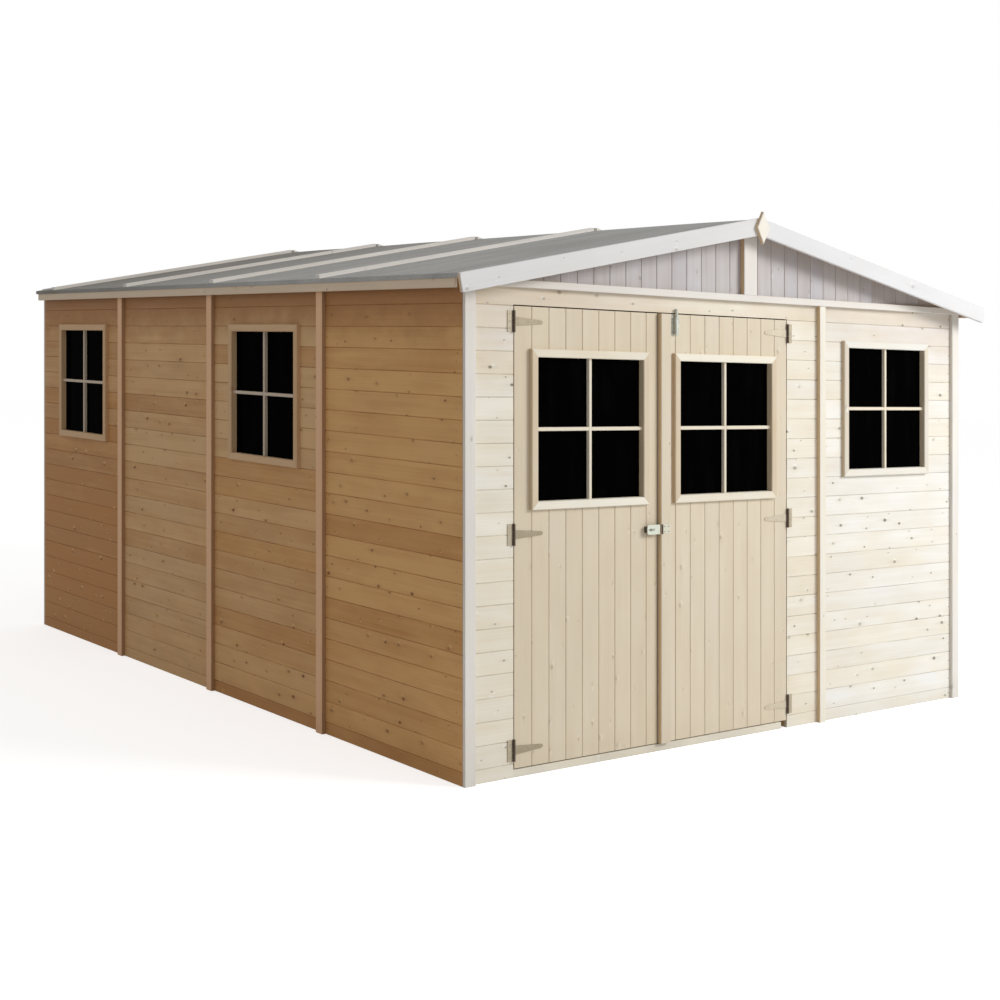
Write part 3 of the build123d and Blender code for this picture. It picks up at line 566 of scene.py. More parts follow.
class Joinery:
    """Gathers boards into one mesh; each board has its own run of grain, tone and warmth.

    cast is the tone and warmth that the boards keep to, and odd the share of them that are darker.
    """

    def __init__(self, seed, cast=(0.5, 0.2), odd=0.0):
        self.points = []
        self.faces = []
        self.grain = []
        self.looks = []
        self.luck = random.Random(seed)
        self.cast = cast
        self.odd = odd
        self.new_board()

    def new_board(self):
        """Start a board with a fresh stretch of grain."""
        self.shift = [self.luck.uniform(0, reach) for reach in (60, 20, 8)]
        dark = 0.6 if self.luck.random() < self.odd else 0.0
        self.tone = self.cast[0] + 0.6 * (self.luck.random() - 0.5) + dark
        self.warmth = self.cast[1] + 0.3 * (self.luck.random() - 0.5) - 0.4 * dark

    def point(self, place, along, across, out, mark):
        """Add one corner, with its place in the grain and whether it lies in a joint."""
        origin, run, side, face = place
        self.points.append(origin + run * along + side * across + face * out)
        self.grain.append((along + self.shift[0], across + self.shift[1], out + self.shift[2]))
        self.looks.append((self.tone, self.warmth, mark))

    def cut(self, place, across, out, start, end, ease=(0.0, 0.0, 0.0, 0.0)):
        """Add a length of a board; each end is a place along it that may change across it and through it."""
        low, high = across
        back, front = out
        outline = []
        corners = ((low, front, 1, -1), (high, front, -1, -1), (high, back, -1, 1), (low, back, 1, 1))
        for turn, ((side, depth, inward, through), soft) in enumerate(zip(corners, ease)):
            bevel = [(side, depth + through * soft, 1.0), (side + inward * soft, depth, 0.0)]
            outline += (bevel[::-1] if turn % 2 else bevel) if soft else [(side, depth, 0.0)]
        first, count = len(self.points), len(outline)
        for reach in (start, end):
            for side, depth, mark in outline:
                self.point(place, reach[0] + reach[1] * side + reach[2] * depth, side, depth, mark)
        self.faces += [list(range(ring, ring + count)) for ring in (first, first + count)]
        self.faces += sides(first, count)

    def board(self, *shape):
        """Add a board of its own in one length."""
        self.new_board()
        self.cut(*shape)

    def slab(self, place, outline, out, ease):
        """Add a flat piece of any convex outline with the edges of its face eased."""
        back, front = out
        first, count = len(self.points), len(outline)
        for ring, depth in ((outline, back), (outline, front - ease), (inset(outline, ease), front)):
            for along, across in ring:
                self.point(place, along, across, depth, 0.0)
        self.faces += [list(range(ring, ring + count)) for ring in (first, first + 2 * count)]
        self.faces += sides(first, count) + sides(first + count, count)

    def stick(self, low, high, ease):
        """Add a squared timber from its box, with its grain along its longest side."""
        size = high - low
        thin, wide, long = sorted(range(3), key=lambda axis: size[axis])
        ways = [Vector([float(axis == chosen) for axis in range(3)]) for chosen in (long, wide, thin)]
        ends = [(corner[long], 0, 0) for corner in (low, high)]
        place = (Vector((0, 0, 0)), *ways)
        self.board(place, (low[wide], high[wide]), (low[thin], high[thin]), *ends, (ease,) * 4)

    def build(self, name, kind, slot, *nodes, body="building"):
        """Make the piece of one of the softwoods, with its grain on it, and put it up."""
        mesh = bpy.data.meshes.new(name)
        mesh.from_pydata(self.points, [], self.faces)
        for label, rows in (("grain", self.grain), ("board", self.looks)):
            layer = mesh.attributes.new(label, "FLOAT_VECTOR", "POINT")
            layer.data.foreach_set("vector", [value for row in rows for value in row])
        shape = bmesh.new()
        shape.from_mesh(mesh)
        bmesh.ops.recalc_face_normals(shape, faces=shape.faces)
        shape.to_mesh(mesh)
        shape.free()
        put_up(name, mesh, wood(kind), body, slot, *nodes)


def new_object(name, data):
    """An object in the scene."""
    made = bpy.data.objects.new(name, data)
    bpy.context.scene.collection.objects.link(made)
    return made


def put_up(name, mesh, finish, body, slot, *nodes):
    """Make an object of a mesh, finish it, set it on its body and let it stand for its solids."""
    mesh.materials.append(finish)
    piece = new_object(name, mesh)
    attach(piece, body)
    if nodes:
        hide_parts(*nodes)


def refinish(name, finish):
    """Give a CAD node that stays in view its finish."""
    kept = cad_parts[name]
    if not kept.material_slots:
        kept.data.materials.append(finish)
    for place in kept.material_slots:
        place.material = finish


def solids(name):
    """Lowest and highest corner of each separate solid in a CAD node."""
    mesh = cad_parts[name].data
    keys = {}
    merged = [keys.setdefault(tuple(round(value, 5) for value in corner.co), len(keys)) for corner in mesh.vertices]
    root = list(range(len(keys)))

    def top(index):
        while root[index] != index:
            root[index] = root[root[index]]
            index = root[index]
        return index

    for face in mesh.polygons:
        corners = [merged[index] for index in face.vertices]
        for other in corners[1:]:
            root[top(other)] = top(corners[0])
    boxes = {}
    for place, index in keys.items():
        low, high = boxes.setdefault(top(index), (Vector(place), Vector(place)))
        for axis in range(3):
            low[axis] = min(low[axis], place[axis])
            high[axis] = max(high[axis], place[axis])
    return sorted(boxes.values(), key=lambda box: tuple(box[0]))


# Faces of the walls and lines of the roof, read from the solids.
half_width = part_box("right_wall_panels")[1].x
front_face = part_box("front_wall_head")[0].y
back_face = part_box("back_wall_panels")[1].y
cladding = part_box("front_wall_head")[1].y - front_face
eave_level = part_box("front_wall_head")[1].z
roof_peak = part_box("front_gable")[1].z
roof_slope = (roof_peak - eave_level) / half_width
roof_angle = math.atan(roof_slope)
deck_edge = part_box("right_roof_deck")[1].x
deck_depth = (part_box("right_roof_deck")[1].z - roof_peak) * math.cos(roof_angle)
felt_depth = (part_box("roof_felt")[1].z - roof_peak) * math.cos(roof_angle) - deck_depth
forward = Vector((0, -1, 0))
hands = ((-1, "left"), (1, "right"))


def wall(side, upright=False):
    """Origin of a wall's face, the way its boards run, the way across them and the way out."""
    faces = {
        "front": ((0, front_face, 0), (1, 0, 0), (0, -1, 0)),
        "back": ((0, back_face, 0), (1, 0, 0), (0, 1, 0)),
        "left": ((-half_width, 0, 0), (0, 1, 0), (-1, 0, 0)),
        "right": ((half_width, 0, 0), (0, 1, 0), (1, 0, 0)),
    }
    origin, level, out = (Vector(values) for values in faces[side])
    up = Vector((0, 0, 1))
    return (origin, up, level, out) if upright else (origin, level, up, out)


def slope(hand):
    """Origin at the ridge on the deck's underside, the way down the slope, along the ridge and out."""
    down = Vector((hand * math.cos(roof_angle), 0, -math.sin(roof_angle)))
    out = Vector((hand * math.sin(roof_angle), 0, math.cos(roof_angle)))
    return Vector((0, 0, roof_peak)), down, Vector((0, 1, 0)), out


def plumb(distance):
    """End of a piece on a slope, cut upright at a distance from the ridge."""
    return (distance / math.cos(roof_angle), 0.0, -math.tan(roof_angle))


def window_hole(low, high, axis):
    """Opening that a window's lining fills, from the box of its frame."""
    sizes = bpy.context.scene.shed_sizes
    margin = sizes.casing_width - sizes.lining_thickness
    return (low[axis] + margin, high[axis] - margin, low.z + margin, high.z - margin)


def row_edges(first, pitch, start, end, sliver=0.004):
    """Joints between boards, from one edge of a wall to the other, with no sliver at the end."""
    edges = [start]
    level = start + first
    while level < end - sliver:
        edges.append(level)
        level += pitch
    return edges + [end]


def wall_rows():
    """Joints between the boards of the walls, from the ground to the eaves."""
    sizes = bpy.context.scene.shed_sizes
    return row_edges(sizes.wall_first, sizes.wall_board, 0.0, eave_level)


def clad(mesh, place, run, edges, holes, depth, rims=None):
    """Lay boards side by side over a wall or a door, cut round the openings; rims are the outermost edges."""
    vee = bpy.context.scene.shed_sizes.vee
    rims = rims or (edges[0], edges[-1])
    for low, high in zip(edges, edges[1:]):
        mesh.new_board()
        cuts = sorted({low, high, *(edge for hole in holes for edge in hole[2:] if low < edge < high)})
        for bottom, top in zip(cuts, cuts[1:]):
            middle = (bottom + top) / 2
            bevels = [0.3 * vee if level in rims else vee for level in (low, high)]
            first, last = bevels[0] if bottom == low else 0.0, bevels[1] if top == high else 0.0
            begin = run[0]
            stretches = []
            for hole in sorted(holes):
                if hole[2] < middle < hole[3]:
                    stretches.append((begin, hole[0]))
                    begin = hole[1]
            stretches.append((begin, run[1]))
            for start, end in stretches:
                if end > start:
                    ease = (first, last, 0.5 * last, 0.5 * first)
                    mesh.cut(place, (bottom, top), (-depth, 0.0), (start, 0, 0), (end, 0, 0), ease)


def spots_at(xs, ys, zs, out=forward):
    """Places for nails or screws, each with the way that it faces."""
    return [(Vector((x, y, z)), out) for x in xs for y in ys for z in zs]


def heads(name, spots, radius, finish, body):
    """Low domed heads of nails or screws, joined into one piece."""
    profile = ((1.0, -0.2), (1.0, 0.12), (0.62, 0.3))
    points = []
    faces = []
    ring = 8
    for spot, out in spots:
        side = out.orthogonal().normalized()
        other = out.cross(side)
        first = len(points)
        for spread, rise in profile:
            for step in range(ring):
                turn = 2 * math.pi * step / ring
                rim = side * math.cos(turn) + other * math.sin(turn)
                points.append(spot + rim * radius * spread + out * radius * rise)
        faces += sides(first, ring) + sides(first + ring, ring)
        faces.append([first + 2 * ring + step for step in range(ring)])
        faces.append([first + step for step in reversed(range(ring))])
    mesh = bpy.data.meshes.new(name)
    mesh.from_pydata(points, [], faces)
    put_up(name, mesh, finish, body, "zinc")


# Tone and warmth of the four panels down each side, front to back: low down, just under the window sills and above
# them. Each panel was made from its own stacks of boards.
panel_casts = (
    ((0.40, 0.0), (0.40, 0.0), (0.40, 0.0)),
    ((0.36, 0.45), (0.85, 0.1), (0.0, 0.92)),
    ((0.30, 0.75), (0.30, 0.75), (0.30, 0.80)),
    ((1.75, 0.12), (1.2, 0.4), (0.9, 0.55)),
)


class SHED_OT_cladding(bpy.types.Operator):
    """Lay the boards of the four walls, cut round the doorway and the windows"""

    bl_idname = "shed.cladding"
    bl_label = "Wall boards"

    def execute(self, context):
        rows = wall_rows()
        below_ground = -1.0
        around_door = ("front_wall_left", "front_wall_right", "front_wall_head")
        left, right, head = (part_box(name) for name in around_door)
        doorway = (left[1].x, right[0].x, below_ground, head[0].z)
        mesh = Joinery(11, (0.6, 0.08))
        clad(mesh, wall("front"), (left[0].x, right[1].x), rows, [doorway], cladding)
        mesh.build("front_wall_boards", "Front boards", "cladding", *around_door)
        low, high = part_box("front_window_panel")
        hole = window_hole(*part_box("front_window_frame"), 0)
        mesh = Joinery(12, (0.4, 0.34))
        clad(mesh, wall("front"), (low.x, high.x), rows, [hole], cladding)
        mesh.build("front_window_boards", "Front boards", "cladding", "front_window_panel")
        for side, seed in (("left", 13), ("right", 14)):
            mesh = Joinery(seed, odd=0.18)
            holes = [window_hole(*box, 1) for box in solids(side + "_window_frames")]
            sill = sum(level < holes[0][2] for level in rows)
            bands = (rows[:sill - 2], rows[sill - 3:sill], rows[sill - 1:])
            for (low, high), casts in zip(solids(side + "_wall_panels"), panel_casts):
                here = [hole for hole in holes if low.y < hole[0] and hole[1] < high.y]
                for cast, levels in zip(casts, bands):
                    mesh.cast = cast
                    clad(mesh, wall(side), (low.y, high.y), levels, here, cladding, (rows[0], rows[-1]))
            mesh.build(side + "_wall_boards", "Side boards", "cladding", side + "_wall_panels")
        mesh = Joinery(15)
        for low, high in solids("back_wall_panels"):
            clad(mesh, wall("back"), (low.x, high.x), rows, [], cladding)
        mesh.build("back_wall_boards", "Side boards", "cladding", "back_wall_panels")
        return {"FINISHED"}


class SHED_OT_gables(bpy.types.Operator):
    """Board the two gable triangles, each board cut to the slope"""

    bl_idname = "shed.gables"
    bl_label = "Gable boards"

    def execute(self, context):
        sizes = context.scene.shed_sizes
        for end, seed in (("front", 21), ("back", 22)):
            low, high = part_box(end + "_gable")
            mesh = Joinery(seed)
            edges = row_edges(sizes.gable_first, sizes.upright_board, low.x, high.x)
            for left, right in zip(edges, edges[1:]):
                mesh.new_board()
                cuts = [left, 0.0, right] if left < 0.0 < right else [left, right]
                for near, far in zip(cuts, cuts[1:]):
                    fall = roof_slope if far <= 0.0 else -roof_slope
                    ease = (sizes.vee if near == left else 0.0, sizes.vee if far == right else 0.0, 0.0, 0.0)
                    ends = ((low.z, 0, 0), (roof_peak, fall, 0))
                    mesh.cut(wall(end, upright=True), (near, far), (-cladding, 0.0), *ends, ease)
            mesh.build(end + "_gable_boards", "Gable boards", "gable", end + "_gable")
        return {"FINISHED"}


def sticks(name, label, kind, slot, seed, ease):
    """Squared timbers in place of a CAD node's solids."""
    mesh = Joinery(seed)
    for low, high in solids(name):
        mesh.stick(low, high, ease)
    mesh.build(label, kind, slot, name)


class SHED_OT_doors(bpy.types.Operator):
    """Board the two door leaves and add the ledges behind them"""

    bl_idname = "shed.doors"
    bl_label = "Doors"

    def execute(self, context):
        sizes = context.scene.shed_sizes
        ledge_feet = (0.095, 0.930, 1.704)
        leaves = (
            ("left", 31, sizes.left_door_first, (0.75, 0.1)),
            ("right", 32, sizes.right_door_first, (0.5, 0.2)),
        )
        for side, seed, first, cast in leaves:
            low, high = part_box(side + "_door")
            left, right, bottom, top = window_hole(*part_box(side + "_door_window_frame"), 0)
            hole = (bottom, top, left, right)
            mesh = Joinery(seed, cast)
            edges = row_edges(first, sizes.upright_board, low.x, high.x)
            clad(mesh, wall("front", upright=True), (low.z, high.z), edges, [hole], sizes.leaf_thickness)
            for foot in ledge_feet:
                near = Vector((low.x + sizes.ledge_inset, front_face + sizes.leaf_thickness, foot))
                far = Vector((high.x - sizes.ledge_inset, high.y, foot + sizes.ledge_height))
                mesh.stick(near, far, sizes.ledge_ease)
            mesh.build(side + "_door_boards", "Door boards", "door", side + "_door", body=side + "_leaf")
        mesh = Joinery(33)
        mesh.stick(*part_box("door_cover_strip"), sizes.strip_ease)
        mesh.build("cover_strip", "Cover strip", "trim", "door_cover_strip", body="right_leaf")
        return {"FINISHED"}


def frame_round(casings, bars, side, low, high):
    """Casing, lining and bars of one window, from the box of its frame."""
    sizes = bpy.context.scene.shed_sizes
    axis = 0 if side == "front" else 1
    size, middle = high - low, (low + high) / 2
    origin, level, up, out = wall(side)
    origin[axis], origin.z = middle[axis], middle.z
    flat, upright = (origin, level, up, out), (origin, up, level, out)
    lining, soft = sizes.lining_thickness, sizes.casing_ease
    wide, tall = size[axis] / 2 - sizes.casing_width, size.z / 2 - sizes.casing_width
    before, inside = (0.0, sizes.casing_stand), (sizes.casing_stand - size[1 - axis], 0.0)
    rails, stiles = (flat, tall, wide, lining, (0.0, 0.2)), (upright, wide, tall, 0.0, (1.3, 0.2))
    for place, across, along, over, cast in (rails, stiles):
        casings.cast = cast
        rim, skew = across + sizes.casing_width, across - along
        casings.board(place, (across, rim), before, (skew, -1, 0), (-skew, 1, 0), (soft, soft, 0.0, 0.0))
        casings.board(place, (-rim, -across), before, (skew, 1, 0), (-skew, -1, 0), (soft, soft, 0.0, 0.0))
        for hand in (-1, 1):
            edges = sorted((hand * across, hand * (across + lining)))
            casings.board(place, edges, inside, (-along - over, 0, 0), (along + over, 0, 0))
    half, soft = sizes.bar_width / 2, sizes.bar_ease
    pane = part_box("left_door_glass")
    behind = -sizes.glass_depth - (pane[1].y - pane[0].y)
    outer = ((-sizes.glass_depth, sizes.bar_stand), (soft, soft, 0.0, 0.0))
    inner = ((behind - sizes.bar_behind_glass, behind), (0.0, 0.0, soft, soft))
    for depth, ease in (outer, inner):
        bars.board(upright, (-half, half), depth, (-tall, 0, 0), (tall, 0, 0), ease)
        bars.board(flat, (-half, half), depth, (-wide, 0, 0), (-half, 0, 0), ease)
        bars.cut(flat, (-half, half), depth, (half, 0, 0), (wide, 0, 0), ease)


class SHED_OT_windows(bpy.types.Operator):
    """Make the mitred casings, linings and glazing bars of the windows, and glaze them"""

    bl_idname = "shed.windows"
    bl_label = "Windows"

    def execute(self, context):
        jobs = (
            ("front_window_frame", "front_window", "front", "building", "Front casings", "Bars"),
            ("left_window_frames", "left_windows", "left", "building", "Side casings", "Side bars"),
            ("right_window_frames", "right_windows", "right", "building", "Side casings", "Side bars"),
            ("left_door_window_frame", "left_door_window", "front", "left_leaf", "Casings", "Bars"),
            ("right_door_window_frame", "right_door_window", "front", "right_leaf", "Casings", "Bars"),
        )
        for seed, (name, label, side, body, casing, bar) in enumerate(jobs, 41):
            casings, bars = Joinery(seed), Joinery(seed + 100)
            for low, high in solids(name):
                frame_round(casings, bars, side, low, high)
            casings.build(label + "_casings", casing, "casing", name, body=body)
            bars.build(label + "_bars", bar, "casing", body=body)
        glass = glass_finish()
        for name in ("wall_window_glass", "left_door_glass", "right_door_glass"):
            refinish(name, glass)
        return {"FINISHED"}


class SHED_OT_trim(bpy.types.Operator):
    """Put on the corner boards, battens, ties, posts, fascias and sill with eased edges"""

    bl_idname = "shed.trim"
    bl_label = "Trim"

    def execute(self, context):
        jobs = (
            ("corner_trims", "corner_boards", "Trim", "trim"),
            ("front_cover_batten", "front_batten", "Front batten", "trim"),
            ("back_cover_battens", "back_battens", "Back trim", "trim"),
            ("side_cover_battens", "side_battens", "Side trim", "trim"),
            ("tie_beams", "gable_ties", "Trim", "trim"),
            ("gable_posts", "gable_uprights", "Gable posts", "trim"),
            ("fascias", "eave_fascias", "Fascias", "trim"),
            ("door_sill", "sill", "Front batten", "cladding"),
        )
        for seed, job in enumerate(jobs, 51):
            sticks(*job, seed, context.scene.shed_sizes.trim_ease)
        return {"FINISHED"}


class SHED_OT_framing(bpy.types.Operator):
    """Frame the inside with studs, plates, purlins and the ridge beam"""

    bl_idname = "shed.framing"
    bl_label = "Framing"

    def execute(self, context):
        names = ("sole_plates", "top_plates", "wall_studs", "ridge_beam", "roof_purlins")
        for seed, name in enumerate(names, 61):
            ease = context.scene.shed_sizes.framing_ease
            sticks(name, name + "_timber", "Framing", "framing", seed, ease)
        return {"FINISHED"}


def lay_deck(sizes):
    """Boards down each slope, square to the ridge."""
    ease = (0.0, 0.0, sizes.deck_ease, sizes.deck_ease)
    for hand, side in hands:
        low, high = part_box(side + "_roof_deck")
        mesh = Joinery(72 + hand)
        edges = row_edges(sizes.deck_first, sizes.deck_board, low.y, high.y)
        for begin, end in zip(edges, edges[1:]):
            mesh.board(slope(hand), (begin, end), (0.0, deck_depth), plumb(0.0), plumb(deck_edge), ease)
        mesh.build(side + "_roof_boards", "Framing", "framing", side + "_roof_deck")


def lay_felt(sizes):
    """One sheet of felt over the ridge, a little lifted between its battens."""
    low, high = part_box("roof_felt")
    battens = sorted({round((b[0].y + b[1].y) / 2, 3) for b in solids("roof_battens")})
    stops = [low.y, *battens, high.y]
    luck = random.Random(71)
    columns, rows = 60, 150
    waves = [(luck.uniform(1.0, 3.2), luck.uniform(1.5, 6.0), luck.uniform(0, 6.28)) for _ in range(5)]
    under = roof_peak + deck_depth / math.cos(roof_angle)
    over = under + felt_depth / math.cos(roof_angle)
    points = []
    for row in range(rows + 1):
        y = low.y + (high.y - low.y) * row / rows
        gap = max(index for index in range(len(stops) - 1) if stops[index] <= y + 1e-6)
        part = min(1.0, max(0.0, (y - stops[gap]) / (stops[gap + 1] - stops[gap])))
        belly = math.sin(math.pi * part) ** 2
        line = []
        for column in range(columns + 1):
            x = low.x + (high.x - low.x) * column / columns
            ripple = sum(math.sin(a * x + b * y + c) for a, b, c in waves) / len(waves)
            edge = min(1.0, (high.x - abs(x)) / sizes.felt_margin)
            lift = sizes.felt_wave * belly * max(0.0, 0.45 + 0.9 * ripple) * edge
            line.append((x, y, over - abs(x) * roof_slope + lift))
        points += [(low.x, y, low.z), *line, (high.x, y, low.z), (0.0, y, under)]
    ring = columns + 4
    faces = [face for row in range(rows) for face in sides(row * ring, ring)]
    faces += [list(reversed(range(ring))), list(range(rows * ring, (rows + 1) * ring))]
    mesh = bpy.data.meshes.new("felt_sheet")
    mesh.from_pydata(points, [], faces)
    put_up("felt_sheet", mesh, felt_finish(), "building", "felt", "roof_felt")


def lay_battens(sizes):
    """Battens over the felt, down each slope."""
    mesh = Joinery(75)
    floor = deck_depth + felt_depth
    ease = (sizes.batten_ease, sizes.batten_ease, 0.0, 0.0)
    for low, high in solids("roof_battens"):
        place = slope(1 if low.x > 0 else -1)
        near, far = sorted((abs(low.x), abs(high.x)))
        rise = (floor, floor + sizes.batten_thickness)
        mesh.board(place, (low.y, high.y), rise, plumb(near), plumb(far), ease)
    mesh.build("felt_battens", "Trim", "trim", "roof_battens")


def hang_barges(sizes):
    """Barge boards cut upright at the ridge, with rounded tips."""
    depth, curve = sizes.barge_depth, sizes.barge_round
    steps_round = 4
    for hand, side in hands:
        mesh = Joinery(77 + hand)
        _, down, _, up = slope(hand)
        for low, high in solids(side + "_barge_boards"):
            out = forward if high.y < 0 else -forward
            tip = max(abs(low.x), abs(high.x)) / math.cos(roof_angle) - curve
            outline = [(0.0, 0.0), (depth * math.tan(roof_angle), -depth)]
            for height, turn in ((curve - depth, -90), (-curve, 0)):
                for step in range(steps_round + 1):
                    angle = math.radians(turn + 90 * step / steps_round)
                    outline.append((tip + curve * math.cos(angle), height + curve * math.sin(angle)))
            reach = sorted((out.y * low.y, out.y * high.y))
            mesh.new_board()
            mesh.slab((Vector((0, 0, high.z)), down, up, out), outline, reach, sizes.barge_ease)
        mesh.build(side + "_barges", "Barge boards", "barge", side + "_barge_boards")


def fix_finial(sizes):
    """A diamond over the joint of the front barge boards."""
    low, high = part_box("finial")
    middle, half = (low + high) / 2, (high - low) / 2
    mesh = Joinery(79)
    place = (Vector((middle.x, 0, middle.z)), Vector((0, 0, 1)), Vector((1, 0, 0)), forward)
    outline = [(half.z, 0.0), (0.0, half.x), (-half.z, 0.0), (0.0, -half.x)]
    mesh.slab(place, outline, (-high.y, -low.y), sizes.finial_ease)
    mesh.build("ridge_finial", "Finial", "barge", "finial")


class SHED_OT_roof(bpy.types.Operator):
    """Lay the roof boards, the felt, the battens, the barge boards and the finial"""

    bl_idname = "shed.roof"
    bl_label = "Roof"

    def execute(self, context):
        for job in (lay_deck, lay_felt, lay_battens, hang_barges, fix_finial):
            job(context.scene.shed_sizes)
        return {"FINISHED"}


def drive_screws(sizes, finishes, dark):
    """Screw the hinges, the hasp and the bolt to the wall and the doors."""
    face = front_face - sizes.plate_thickness
    spots = []
    for low, high in solids("hinge_plates"):
        on_left = high.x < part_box("left_door")[1].x
        x = low.x + sizes.plate_screw_side if on_left else high.x - sizes.plate_screw_side
        levels = (low.z + sizes.plate_screw_end, (low.z + high.z) / 2, high.z - sizes.plate_screw_end)
        spots += spots_at((x,), (face,), levels)
    heads("plate_screws", spots, sizes.plate_screw, finishes["hinge_plates"], "building")
    # Each strap's screws: how far from its hinge, and how far above its middle.
    strap_screws = ((0.030, 0.009), (0.030, -0.009), (0.080, 0.0), (0.134, 0.0))
    for hand, side in hands:
        spots = []
        for low, high in solids(side + "_hinge_straps"):
            hinge, middle = low.x if hand < 0 else high.x, (low.z + high.z) / 2
            for reach, lift in strap_screws:
                spots += spots_at((hinge - hand * reach,), (face,), (middle + lift,))
        finish = finishes[side + "_hinge_straps"]
        heads(side + "_strap_screws", spots, sizes.small_screw, finish, side + "_leaf")
    # The hasp's plate and the bolt's plate have a screw near each corner.
    hinge_side, free_side, hasp_end, hasp_sunk = 0.018, 0.010, 0.009, 0.0045
    low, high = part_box("hasp_plate")
    levels = (low.z + hasp_end, high.z - hasp_end)
    spots = spots_at((low.x + hinge_side, high.x - free_side), (low.y + hasp_sunk,), levels)
    bolt_side, bolt_plate, bolt_levels = 0.006, 0.002, (0.012, 0.068)
    low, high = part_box("top_bolt")
    levels = [low.z + level for level in bolt_levels]
    spots += spots_at((low.x + bolt_side, high.x - bolt_side), (front_face - bolt_plate,), levels)
    heads("fitting_screws", spots, sizes.small_screw, dark, "right_leaf")


def drive_nails(sizes, dark):
    """Nail the wall boards near the edges of their panels."""
    rows = wall_rows()
    levels = [(low + high) / 2 for low, high in zip(rows, rows[1:])]
    spots = []
    for hand, side in hands:
        for low, high in solids(side + "_wall_panels"):
            edges = (low.y + sizes.side_nail_edge, high.y - sizes.side_nail_edge)
            spots += spots_at((hand * half_width,), edges, levels, Vector((hand, 0, 0)))
    spots += spots_at((half_width - sizes.front_nail_edge,), (front_face,), levels)
    for low, high in solids("back_wall_panels"):
        edges = (low.x + sizes.back_nail_edge, high.x - sizes.back_nail_edge)
        spots += spots_at(edges, (back_face,), levels, -forward)
    heads("wall_nails", spots, sizes.nail, dark, "building")


class SHED_OT_ironwork(bpy.types.Operator):
    """Finish the hinges, hasp and bolt, and drive the screws and nails"""

    bl_idname = "shed.ironwork"
    bl_label = "Ironwork"

    def execute(self, context):
        sizes = context.scene.shed_sizes
        left, right, hasp = (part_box(name) for name in ("left_hinge_straps", "right_hinge_straps", "hasp_plate"))
        knuckle, small = sizes.knuckle, sizes.hasp_knuckle
        # Pins round which the finishes paint shade, and depths that bound the hasp's painted shade.
        pins = ((left[0].x + knuckle, left[0].y + knuckle), (right[1].x - knuckle, right[0].y + knuckle))
        pivot = ((hasp[0].x + small, hasp[0].y + small),)
        shade_depths = (sizes.hasp_stand, sizes.hasp_flap_stand)
        finishes = {
            "hinge_plates": zinc("Hinge plates", "zinc_dark", "tarnish_pale", 0.04, pins, knuckle),
            "left_hinge_straps": zinc("Tarnished straps", "tarnish_pale", "tarnish_dark", 0.04, pins, knuckle),
            "right_hinge_straps": zinc("Hinge straps", "zinc_pale", "zinc_dark", 0.04, pins, knuckle),
            "hasp_plate": zinc("Hasp plate", "zinc_pale", "bright_pale", 0.02, pivot, small),
            "hasp_flap": zinc("Hasp", "bright_pale", "bright_pale", 0.02, pivot, small, shade_depths),
            "top_bolt": zinc("Bolt", "bright_pale", "bright_dark", 0.02),
        }
        for name, finish in finishes.items():
            refinish(name, finish)
        dark = zinc("Screws", "zinc_dark", "stain", 0.3)
        drive_screws(sizes, finishes, dark)
        drive_nails(sizes, dark)
        return {"FINISHED"}


def seen_directly(n):
    """Rays from the eye, or from a mirror or glass, rather than light on a surface."""
    path = n.add("LightPath")
    both = n.math("MAXIMUM", path["Is Camera Ray"], path["Is Glossy Ray"])
    return n.math("MAXIMUM", both, path["Is Transmission Ray"])


def set_view(scene, stage):
    """A level view with a slight upright shear, as in the picture."""
    camera = new_object("view", bpy.data.cameras.new("view"))
    camera.data.sensor_width = 36.0
    camera.data.lens = stage.lens
    camera.data.shift_y = stage.drop
    camera.data.clip_end = 200.0
    camera.location = stage.eye
    camera.rotation_euler = (math.pi / 2, 0.0, -stage.yaw)
    right = Vector((math.cos(stage.yaw), -math.sin(stage.yaw), 0.0))
    lean = Matrix.Identity(4)
    lean[2][0] = stage.lean * right.x
    lean[2][1] = stage.lean * right.y
    lean[2][3] = -stage.lean * right.dot(Vector(stage.eye))
    camera.parent = new_object("view_lean", None)
    camera.matrix_parent_inverse = lean
    scene.camera = camera
    scene.view_settings.view_transform = "Standard"


def set_light(scene, stage):
    """One broad lamp in front and to the right, and soft light from all round that is seen as plain white."""
    key = bpy.data.lights.new("key", "AREA")
    key.shape = "RECTANGLE"
    key.size, key.size_y = stage.lamp_width, stage.lamp_height
    key.energy = stage.lamp_power
    lamp = new_object("key", key)
    lamp.location = stage.lamp
    aim = Vector(stage.lamp_aim) - lamp.location
    lamp.rotation_euler = aim.to_track_quat("-Z", "Y").to_euler()
    world = bpy.data.worlds.new("pale room")
    world.use_nodes = True
    world.node_tree.nodes.clear()
    n = Nodes(world.node_tree)
    soft, white = (n.add("Background", {"Color": (1, 1, 1, 1), "Strength": s})[0] for s in (stage.sky, 1.0))
    both = n.add("MixShader", {0: seen_directly(n), 1: soft, 2: white})
    n.add("OutputWorld", {"Surface": both[0]})
    scene.world = world


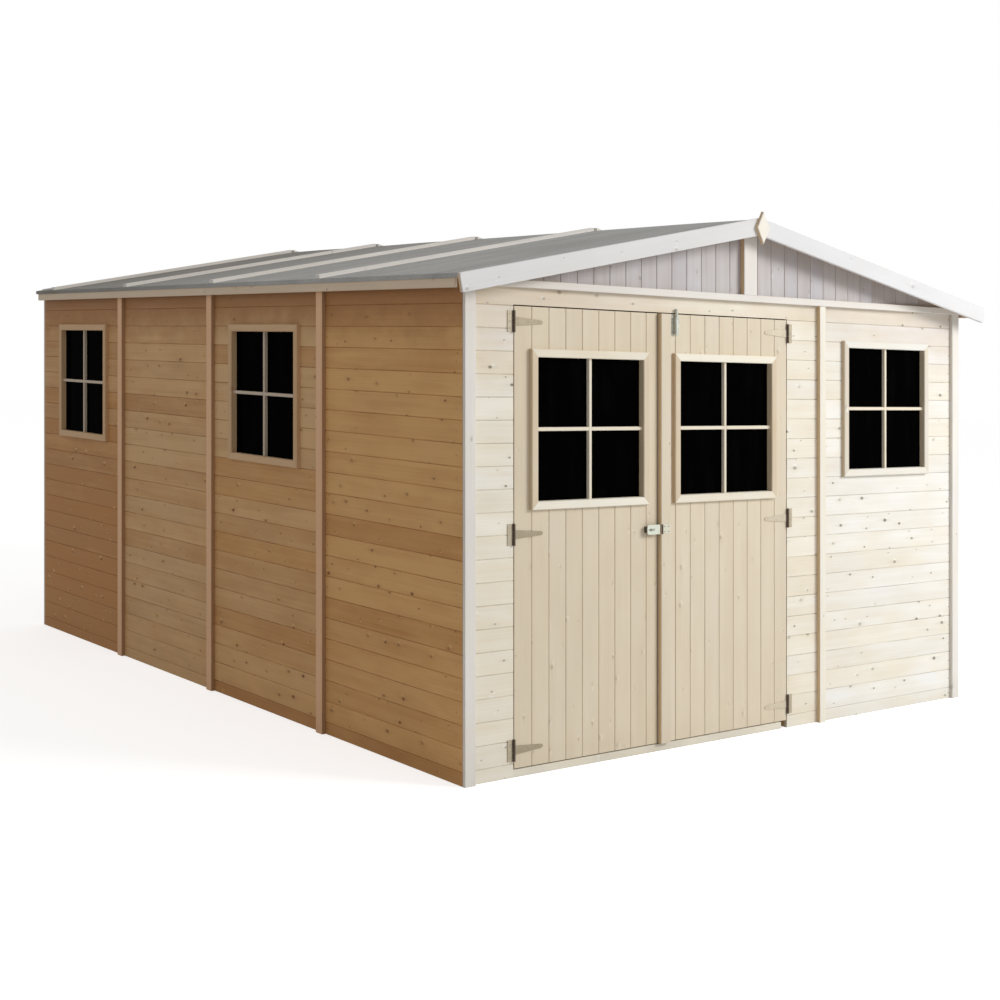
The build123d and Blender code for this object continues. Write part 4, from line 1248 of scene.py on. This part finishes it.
def lay_floor(scene, stage):
    """A pale floor that keeps the shed's shadow and is close to white where it is seen."""
    reach = stage.floor_reach
    corners = [(-reach, -reach, 0), (reach, -reach, 0), (reach, reach, 0), (-reach, reach, 0)]
    mesh = bpy.data.meshes.new("floor")
    mesh.from_pydata(corners, [], [[0, 1, 2, 3]])
    floor = new_object("floor", mesh)
    floor.location.z = -stage.floor_gap
    n = Finish("pale floor")
    speck = n.add("TexNoise", {"Scale": 3.0, "Detail": 2.0})[0]
    light, dull = ((*(share * stage.floor_pale,) * 3, 1.0) for share in (1.0, 0.97))
    matt = n.add("BsdfDiffuse", {"Color": n.blended(speck, light, dull)})[0]
    glow = n.add("Emission", {"Color": (1, 1, 1, 1), "Strength": stage.floor_glow})[0]
    lit = n.add("AddShader", {0: matt, 1: glow})[0]
    both = n.add("MixShader", {0: seen_directly(n), 1: matt, 2: lit})
    n.add("OutputMaterial", {"Surface": both[0]})
    mesh.materials.append(n.material)


class SHED_OT_stage(bpy.types.Operator):
    """Set the view, the pale floor and the soft light"""

    bl_idname = "shed.stage"
    bl_label = "Stage"

    def execute(self, context):
        for job in (set_view, set_light, lay_floor):
            job(context.scene, context.scene.shed_stage)
        return {"FINISHED"}


class SHED_PT_dressing(bpy.types.Panel):
    """Lists the steps that dress the shed"""

    bl_label = "Garden shed"
    bl_idname = "SHED_PT_dressing"
    bl_space_type = "VIEW_3D"
    bl_region_type = "UI"
    bl_category = "Shed"

    def draw(self, context):
        for step in steps:
            self.layout.operator(step.bl_idname)
        for name, kind in settings:
            box = self.layout.box()
            for field in kind.__annotations__:
                box.prop(getattr(context.scene, name), field)


steps = (
    SHED_OT_cladding,
    SHED_OT_gables,
    SHED_OT_doors,
    SHED_OT_windows,
    SHED_OT_trim,
    SHED_OT_framing,
    SHED_OT_roof,
    SHED_OT_ironwork,
    SHED_OT_stage,
)
settings = (("shed_sizes", ShedSizes), ("shed_colours", ShedColours), ("shed_stage", ShedStage))


def register():
    """Make the settings, steps and panel known to Blender."""
    for name, kind in settings:
        bpy.utils.register_class(kind)
        setattr(bpy.types.Scene, name, PointerProperty(type=kind))
    for kind in (*steps, SHED_PT_dressing):
        bpy.utils.register_class(kind)


def unregister():
    """Take the panel, steps and settings away again."""
    for kind in (SHED_PT_dressing, *reversed(steps)):
        bpy.utils.unregister_class(kind)
    for name, kind in reversed(settings):
        delattr(bpy.types.Scene, name)
        bpy.utils.unregister_class(kind)


def main():
    """Dress the shed step by step."""
    register()
    bpy.ops.shed.cladding()
    bpy.ops.shed.gables()
    bpy.ops.shed.doors()
    bpy.ops.shed.windows()
    bpy.ops.shed.trim()
    bpy.ops.shed.framing()
    bpy.ops.shed.roof()
    bpy.ops.shed.ironwork()
    bpy.ops.shed.stage()
    bpy.context.view_layer.update()


if __name__ == "__main__":
    main()
